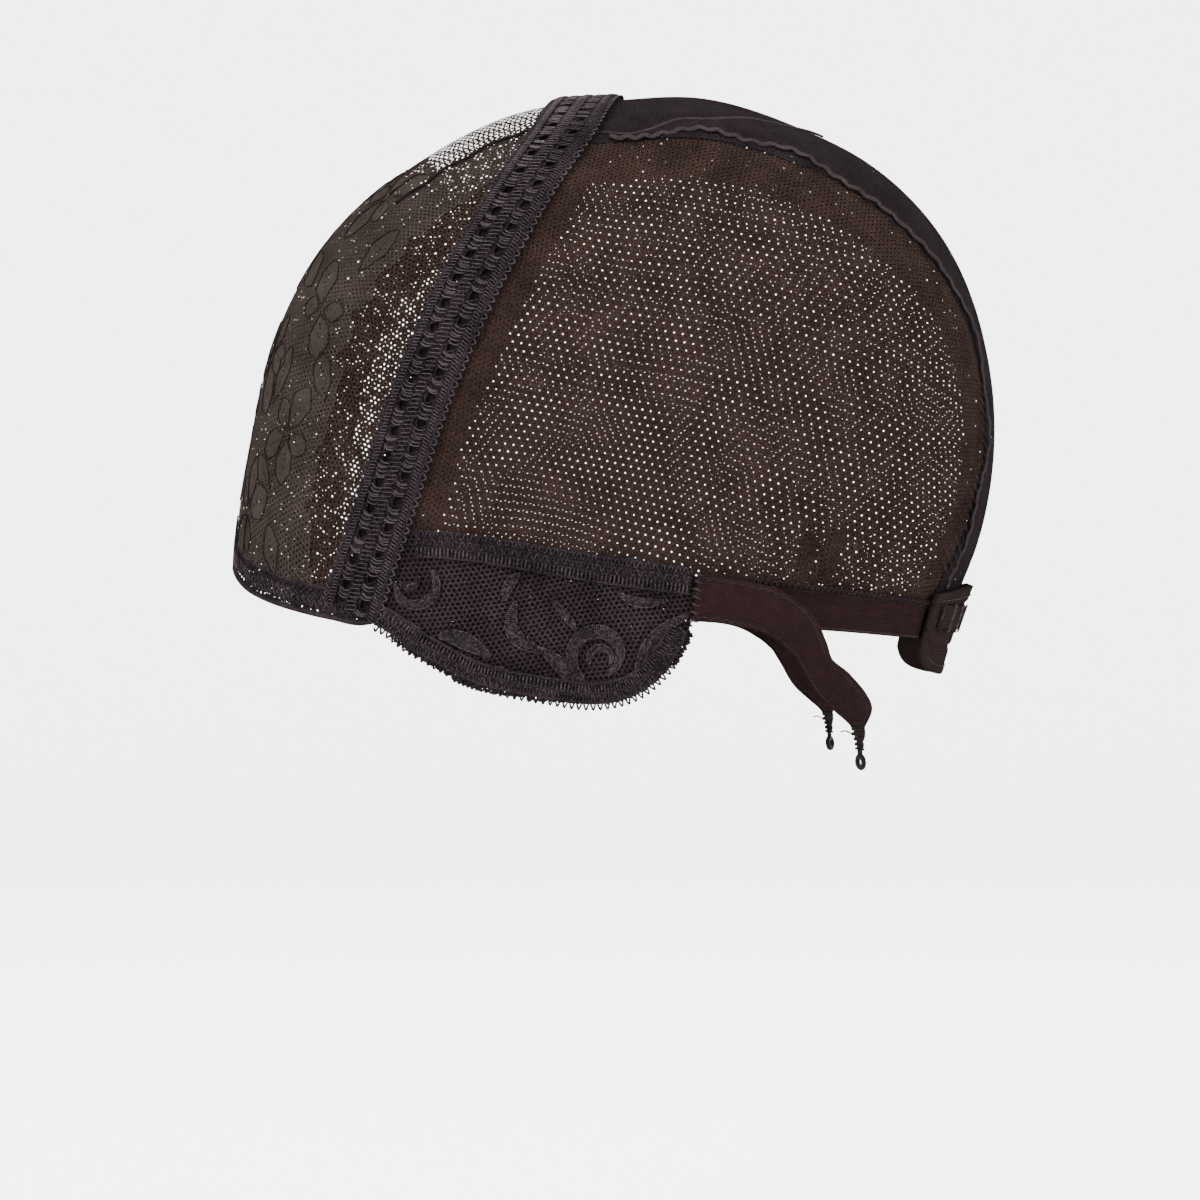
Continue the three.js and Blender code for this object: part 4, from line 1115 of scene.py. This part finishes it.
def nape_ribbon(lay, length, columns=200):
    """The elastic: its height over the form is its thickness, plus a Gauss curve each for the roll near its
    upper edge, the rib at its lower edge and the groove of the stitches."""
    share = np.array([0, 0.03, 0.08, 0.14, 0.3, 0.5, 0.7, 0.8, 0.84, 0.88, 0.91, 0.94, 0.97, 1])
    along = np.linspace(0, length, columns)
    places = np.stack(np.broadcast_arrays(along, share[:, None]), axis=-1)
    bump = sum(
        part["height"] * np.exp(-(((share - part["at"]) / part["wide"]) ** 2)) for part in ELASTIC_SWELLS)
    height = np.broadcast_to((ELASTIC["thick"] + bump)[:, None], places.shape[:2])
    direction = lay(places)
    return slab(press(direction, height), press(direction, 0.05), places * (1, 10))


nape_points, nape_faces, nape_cloth = nape_ribbon(*nape_band)
nape = make_piece("nape_elastic_band", nape_points, nape_faces, elastic_cloth, cloth=nape_cloth)
fit(nape, "elastic", "nape_elastic")
nape_stitches = join(
    zigzag(*nape_band, 0.86, 0.985, 1.5, 1.62, 0.13), zigzag(*nape_band, 0.8, 0.84, 1.2, 1.12, 0.12),
    edge_cord(*nape_band, 0.05, 1.18, 0.14, 0.14),
)
fit(make_piece("nape_elastic_stitches", *nape_stitches, fold_thread), "elastic")

# Inner loops. A short folded ribbon is sewn inside the net above each side of the elastic. Its folded edge
# is a bar painted near black as the shadow of the fold, beside its greyer face, and a seam thread along it
# has the same painted shadow.
LOOP = {"bearing": 129.6, "top": 16.4, "low": 25, "half": 1.25, "lean": 2.2, "bar": 0.75, "seam": 0.4}
loop_face = woven("black_ribbon", (0.0040, 0.0034, 0.0034), (0.0150, 0.0130, 0.0128), 0.5, 0.5)
# Painted shadow: the fold's bar and the seam beside it are near black for the shade of the loop's thickness.
loop_fold_shadow = yarn("ribbon_fold_painted_shadow", (0.0012, 0.0010, 0.0010), (0.0030, 0.0026, 0.0026))


def loop_part(from_bearing, to_bearing, lift, belly):
    """A strip between two bearings, from the elastic up to the loop's top. It swells inwards by a sine of
    the place along it, and its middle by a sine across it."""
    up = np.linspace(0, 1, 16)[:, None]
    across = np.linspace(0, 1, 7)
    bearing = LOOP["bearing"] + LOOP["lean"] * (up - 0.5)
    bearing = bearing + from_bearing + (to_bearing - from_bearing) * across
    drop = LOOP["low"] + (LOOP["top"] - LOOP["low"]) * up + 0 * across
    outer = lift - belly * np.sin(np.pi * up) + 0.15 * np.sin(np.pi * across)
    direction = at_bearing(bearing, drop)
    places = np.stack(np.broadcast_arrays(6 * across, 14 * up), axis=-1)
    return slab(press(direction, outer), press(direction, outer - 0.45), places)


face_points, face_faces, face_cloth = loop_part(-LOOP["half"], LOOP["half"], -0.55, 0.2)
bar_points, bar_faces, _ = loop_part(-LOOP["half"] - LOOP["bar"], -LOOP["half"] + 0.3, -0.5, 0.5)
seam_up = np.linspace(0, 1, 24)
seam_bearing = LOOP["bearing"] - LOOP["half"] - LOOP["bar"] / 2 + LOOP["lean"] * (seam_up - 0.5)
seam = at_bearing(seam_bearing, LOOP["low"] + (LOOP["top"] - LOOP["low"]) * seam_up)[None]
loop_seam = thread_on_form(seam, 0.85, LOOP["seam"], 0.3)
loop_fold = join((bar_points, bar_faces), loop_seam)
loop_front = (face_points, face_faces)
both_sides("inner_loop_{}_face", loop_front, loop_face, "loop_tape", "inner_loop_{}", face_cloth)
both_sides("inner_loop_{}_fold", loop_fold, loop_fold_shadow, "loop_tape")

# Adjuster. A folded greyish tape is sewn over the middle of the nape, its lower flap hanging free. A narrow
# tape runs across it, sewn down at bars, and stands open between them as loops for the strap hooks.
ADJUSTER = {
    "half": 27.2, "edge_top": 24.8, "middle_top": 22.6, "edge_low": 34.6, "middle_low": 36.6, "corner": 1.6,
}
LOOP_TAPE = {"half": 24.3, "top": 26, "low": 29.6, "bars": 9, "arch": 0.4}
adjuster_cloth = woven("adjuster_tape", (0.0030, 0.0019, 0.0018), (0.0095, 0.0066, 0.0062), 0.7, 0.45)


def adjuster_direction(across, up):
    """Across is -1 to 1 round the nape, up is 0 to 1 from the lower edge, which bows down in the middle."""
    bow = across**2
    top = ADJUSTER["middle_top"] + (ADJUSTER["edge_top"] - ADJUSTER["middle_top"]) * bow
    low = ADJUSTER["middle_low"] + (ADJUSTER["edge_low"] - ADJUSTER["middle_low"]) * bow**2
    low = low - ADJUSTER["corner"] * bow**8
    return at_bearing(180 + ADJUSTER["half"] * across, low + (top - low) * up)


def adjuster_height(across, up):
    """A folded upper band stands higher, a slit runs under the loops, and the flap ripples a little."""
    folded = 0.45 * smoothstep(up, 0.8, 0.84)
    slit = -0.55 * np.exp(-(((up - 0.3 - 0.03 * across) / 0.03) ** 2))
    hem = 0.25 * np.exp(-(((up - 0.05) / 0.05) ** 2))
    hem = hem + 0.2 * np.exp(-(((np.abs(across) - 0.96) / 0.03) ** 2))
    ripple = 0.22 * np.sin(9 * across + 2) * (1 - smoothstep(up, 0.1, 0.5))
    return 3.15 + folded + slit + hem + ripple


across, up = np.meshgrid(np.linspace(-1, 1, 90), np.linspace(0, 1, 44))
flap = adjuster_direction(across, up)
flap_places = np.stack([across * 45, up * 19], axis=-1)
flap_points, flap_faces, flap_cloth = slab(
    press(flap, adjuster_height(across, up)), press(flap, 2.0), flap_places)
flap_piece = make_piece("adjuster_flap", flap_points, flap_faces, adjuster_cloth, cloth=flap_cloth)
fit(flap_piece, "adjuster_cloth", "adjuster_panel")


def loop_tape_height(across):
    """Low at each bar, and a sine arch between two bars."""
    return 3.8 + LOOP_TAPE["arch"] * np.abs(np.sin(np.pi * LOOP_TAPE["bars"] * (across + 1) / 2)) ** 0.6


across, up = np.meshgrid(np.linspace(-1, 1, 217), np.linspace(0, 1, 9))
drop = LOOP_TAPE["low"] + (LOOP_TAPE["top"] - LOOP_TAPE["low"]) * up
over = at_bearing(180 + LOOP_TAPE["half"] * across, drop)
height = loop_tape_height(across) - 0.12 * np.abs(2 * up - 1) ** 6
tape_places = np.stack([across * 40, up * 6], axis=-1)
loop_points, loop_faces, loop_cloth = slab(press(over, height), press(over, height - 0.5), tape_places)
fit(make_piece("adjuster_loop_tape", loop_points, loop_faces, adjuster_cloth, cloth=loop_cloth),
    "adjuster_cloth", "adjuster_loops")
share = np.linspace(0, 1, 5)
bar_at = (2 * np.arange(LOOP_TAPE["bars"] + 1) / LOOP_TAPE["bars"] - 1)[:, None]
bar_at = bar_at + np.array([-0.016, 0, 0.016])
bar_across = np.clip(bar_at, -0.985, 0.985).reshape(-1, 1) + 0 * share
bar_drop = LOOP_TAPE["low"] + 0.5 + (LOOP_TAPE["top"] - LOOP_TAPE["low"] - 0.8) * share + 0 * bar_across
stitched = [thread_on_form(at_bearing(180 + LOOP_TAPE["half"] * bar_across, bar_drop), 4.0, 0.2)]
for up, pitch in ((0.9, 0.028), (0.77, 0.033), (0.09, 0.033)):
    start = np.arange(-0.94, 0.92, pitch)[:, None]
    run = start + pitch * 0.62 * share
    lift = adjuster_height(run, up) + 0.02 + 0.14 * np.sin(np.pi * share)
    stitched.append(thread_on_form(adjuster_direction(run, up), lift, 0.14))
fit(make_piece("adjuster_stitches", *join(*stitched), satin_thread), "adjuster_cloth")

# Straps. A loose flat elastic 11 mm wide is sewn to the back edge of each ear tab. It hangs down past the
# nape and twists, and its end is drawn together.
STRAP = rows(
    "station x y z twist",
    (0, 75.5, 18.8, -123.9, 0), (1, 74.3, 28.6, -125.2, 0), (2, 73.6, 36.6, -127.3, 6),
    (3, 73, 42.2, -130.9, 24), (4, 72.2, 45.6, -135.4, 48), (5, 71.2, 48, -140, 58),
    (6, 70.2, 52, -144.9, 42), (7, 69.4, 56.5, -150, 50), (8, 69, 57.7, -155.4, 70),
)
STRAP_CLOTH = {"width": 11, "thick": 1.1, "face": (1, 0.14, -0.11)}
STRAP_END = {"from": 7.1, "to": 7.85, "lost": 0.58}


def strap_middle(station):
    """The strap's middle line at each station."""
    return np.stack([read(STRAP, column, station) for column in "xyz"], axis=-1)


def strap_frame(station):
    """The strap's direction, the way its face looks and its width: the face starts square to the strap and
    turns about it by the twist."""
    last = STRAP["station"][-1]
    before, after = np.maximum(station - 0.05, 0), np.minimum(station + 0.05, last)
    tangent = unit(strap_middle(after) - strap_middle(before))
    face = np.array(STRAP_CLOTH["face"], float)
    face = unit(face - tangent * (tangent @ face)[..., None])
    twist = np.radians(read(STRAP, "twist", station))[..., None]
    outward = face * np.cos(twist) + np.cross(tangent, face) * np.sin(twist)
    return tangent, outward, np.cross(tangent, outward)


def strap_narrowed(station):
    """The share of its width that is left: it falls by a smooth step to the end that is wound."""
    return 1 - STRAP_END["lost"] * smoothstep(station, STRAP_END["from"], STRAP_END["to"])


def strap_mesh(stations=150):
    """Both faces of the strap. It is thinner at its edges and in a groove beside each outermost cord."""
    station = np.linspace(0, STRAP["station"][-1], stations)
    middle = strap_middle(station)
    _, outward, width = strap_frame(station)
    place = np.array([0.5, 0.47, 0.43, 0.38, 0.3, 0.1, -0.1, -0.3, -0.38, -0.43, -0.47, -0.5])
    half = STRAP_CLOTH["thick"] / 2 * np.where(np.abs(place) > 0.45, 0.75, 1)
    half = half - 0.12 * np.exp(-(((np.abs(place) - 0.38) / 0.02) ** 2))
    narrowed = strap_narrowed(station)
    sheet = middle + STRAP_CLOTH["width"] * place[:, None, None] * narrowed[:, None] * width
    shift = half[:, None, None] * outward
    places = np.stack(np.broadcast_arrays(travel(middle), STRAP_CLOTH["width"] * place[:, None]), axis=-1)
    return slab(sheet + shift, sheet - shift, places)


def strap_threads(stations=110):
    """A stitched line along both edges of each face, and a row of stitches over the sewn start."""
    station = np.linspace(0.02, STRAP["station"][-1] - 0.02, stations)
    middle = strap_middle(station)
    _, outward, width = strap_frame(station)
    swing = 0.35 * np.sin(np.arange(stations) * np.pi / 1.5)
    narrowed = strap_narrowed(station)
    lines = []
    for side in (-1, 1):
        across = side * ((0.42 * STRAP_CLOTH["width"] + swing) * narrowed)[:, None] * width
        for face in (-1, 1):
            line = middle + across + face * 0.5 * outward
            lines.append(threads(line[None], face * outward, 0.12, sides=4))
    share = np.linspace(-0.5, 0.5, 7)
    for station in (0.05, 0.16):
        tangent, outward, width = strap_frame(np.array([station]))
        row = strap_middle(np.array([station])) + STRAP_CLOTH["width"] * share[:, None] * width
        stitches = row[:, None] + (np.linspace(-0.8, 0.8, 5)[:, None] * (tangent + 0.35 * width))
        stitches = stitches + outward * (0.62 + 0.1 * np.cos(np.linspace(-1.5, 1.5, 5)))[:, None]
        lines.append(threads(stitches, outward, 0.22, sides=4))
    return join(*lines)


strap_points, strap_faces, strap_cloth = strap_mesh()
strap = (strap_points, strap_faces)
both_sides("strap_{}_elastic", strap, elastic_cloth, "elastic", "strap_{}", strap_cloth)
both_sides("strap_{}_stitches", strap_threads(), fold_thread, "elastic")

# Strap hooks. A small moulded hook is sewn to each strap's end: a plate, a shank and an eye of black
# plastic. Dark thread is wound round the plate and the shank, and one end of the thread hangs out.
HOOK = {"width": 4.2, "plate": 3.2, "shank": 0.8, "eye": 1.4, "wire": 0.65, "length": 10.4, "gap": -0.6}
WINDING = {"turns": 16, "start": -1.3, "pitch": 0.4, "beyond": 0.2}
hook_plastic, hook_nodes, hook_links, hook_tone, _ = dyed(
    "black_hook_plastic", (0.0016, 0.0014, 0.0015), (0.0045, 0.004, 0.0042), 0.45, 0)
hook_nodes["Principled BSDF"].inputs["Specular IOR Level"].default_value = 0.02
hook_noise, hook_place = hook_nodes.new("ShaderNodeTexNoise"), hook_nodes.new("ShaderNodeTexCoord")
hook_noise.inputs["Scale"].default_value = 900
hook_links.new(hook_place.outputs["Object"], hook_noise.inputs["Vector"])
hook_links.new(hook_noise.outputs["Fac"], hook_tone)


def ring(radius, wire, around=28, sides=10):
    """A closed ring in the plane of the first two axes: (radius + wire cos b) turned round by a."""
    a = 2 * np.pi * np.arange(around)[:, None] / around
    b = 2 * np.pi * np.arange(sides) / sides
    distance = radius + wire * np.cos(b)
    points = np.stack([distance * np.cos(a), distance * np.sin(a), wire * np.sin(b) + 0 * a], axis=-1)
    index = np.arange(around * sides).reshape(around, sides)
    quads = [index, np.roll(index, -1, 0), np.roll(np.roll(index, -1, 0), -1, 1), np.roll(index, -1, 1)]
    return points.reshape(-1, 3), [np.stack(quads, axis=-1).reshape(-1, 4)]


def hook_half(along):
    """Half the hook's width at a place along it: the plate falls to the shank by a smooth step."""
    return np.maximum(HOOK["width"] / 2 * (1 - smoothstep(along, 1.5, HOOK["plate"] + 1.4)), HOOK["shank"])


def hook_mesh():
    """In the hook's own frame, with x across it, y along it and z out of its face: the plate and shank, and
    the eye, which is a ring at the end."""
    along = np.concatenate([[0], np.linspace(0, HOOK["length"] - 2 * HOOK["eye"], 40)])
    half = hook_half(along)
    half[0] *= 0.9
    path = np.stack([0 * along, along, 0 * along], axis=-1)[None]
    body = threads(path, (0, 0, 1), half[None, :, None, None], 0.58, 16)
    eye_points, eye_faces = ring(HOOK["eye"], HOOK["wire"])
    eye = (eye_points + (0, HOOK["length"] - HOOK["eye"] - HOOK["wire"], 0), eye_faces)
    return join(body, eye)


def hook_windings(points=20):
    """Thread wound round the plate and most of the shank: ellipses a little wider than the hook, which rise
    by a pitch each turn and wander as a sine, and a loose end that curls away."""
    turn = np.linspace(0, WINDING["turns"], WINDING["turns"] * points)
    along = WINDING["start"] + WINDING["pitch"] * turn + 0.3 * np.sin(turn * 2.1)
    half = hook_half(along) + WINDING["beyond"] + 0.25 * np.sin(turn * 1.3) ** 2
    wound = np.stack([half * np.cos(2 * np.pi * turn), along, 0.8 * np.sin(2 * np.pi * turn)], axis=-1)
    free = np.linspace(0, 1, 16)
    tail = np.stack([-1.5 - 3.4 * free, 2 - 3.2 * free + 2.4 * free**2, 0.7 + 1.3 * free], axis=-1)
    return join(threads(wound[None], (0, 1, 0.01), 0.3), threads(tail[None], (0, 0, 1), 0.18))


def at_strap_end(mesh):
    """From the hook's own frame to the end of the left strap."""
    points, faces = mesh
    last = np.array([STRAP["station"][-1]])
    tangent, outward, width = (vector[0] for vector in strap_frame(last))
    place = strap_middle(last)[0] + tangent * HOOK["gap"]
    return place + points @ np.array([-width, tangent, outward]), faces


hook = at_strap_end(hook_mesh())
both_sides("strap_hook_{}_moulding", hook, hook_plastic, "hook", "strap_hook_{}")
both_sides("strap_hook_{}_thread", at_strap_end(hook_windings()), dark_thread_and_outline_shade, "elastic")
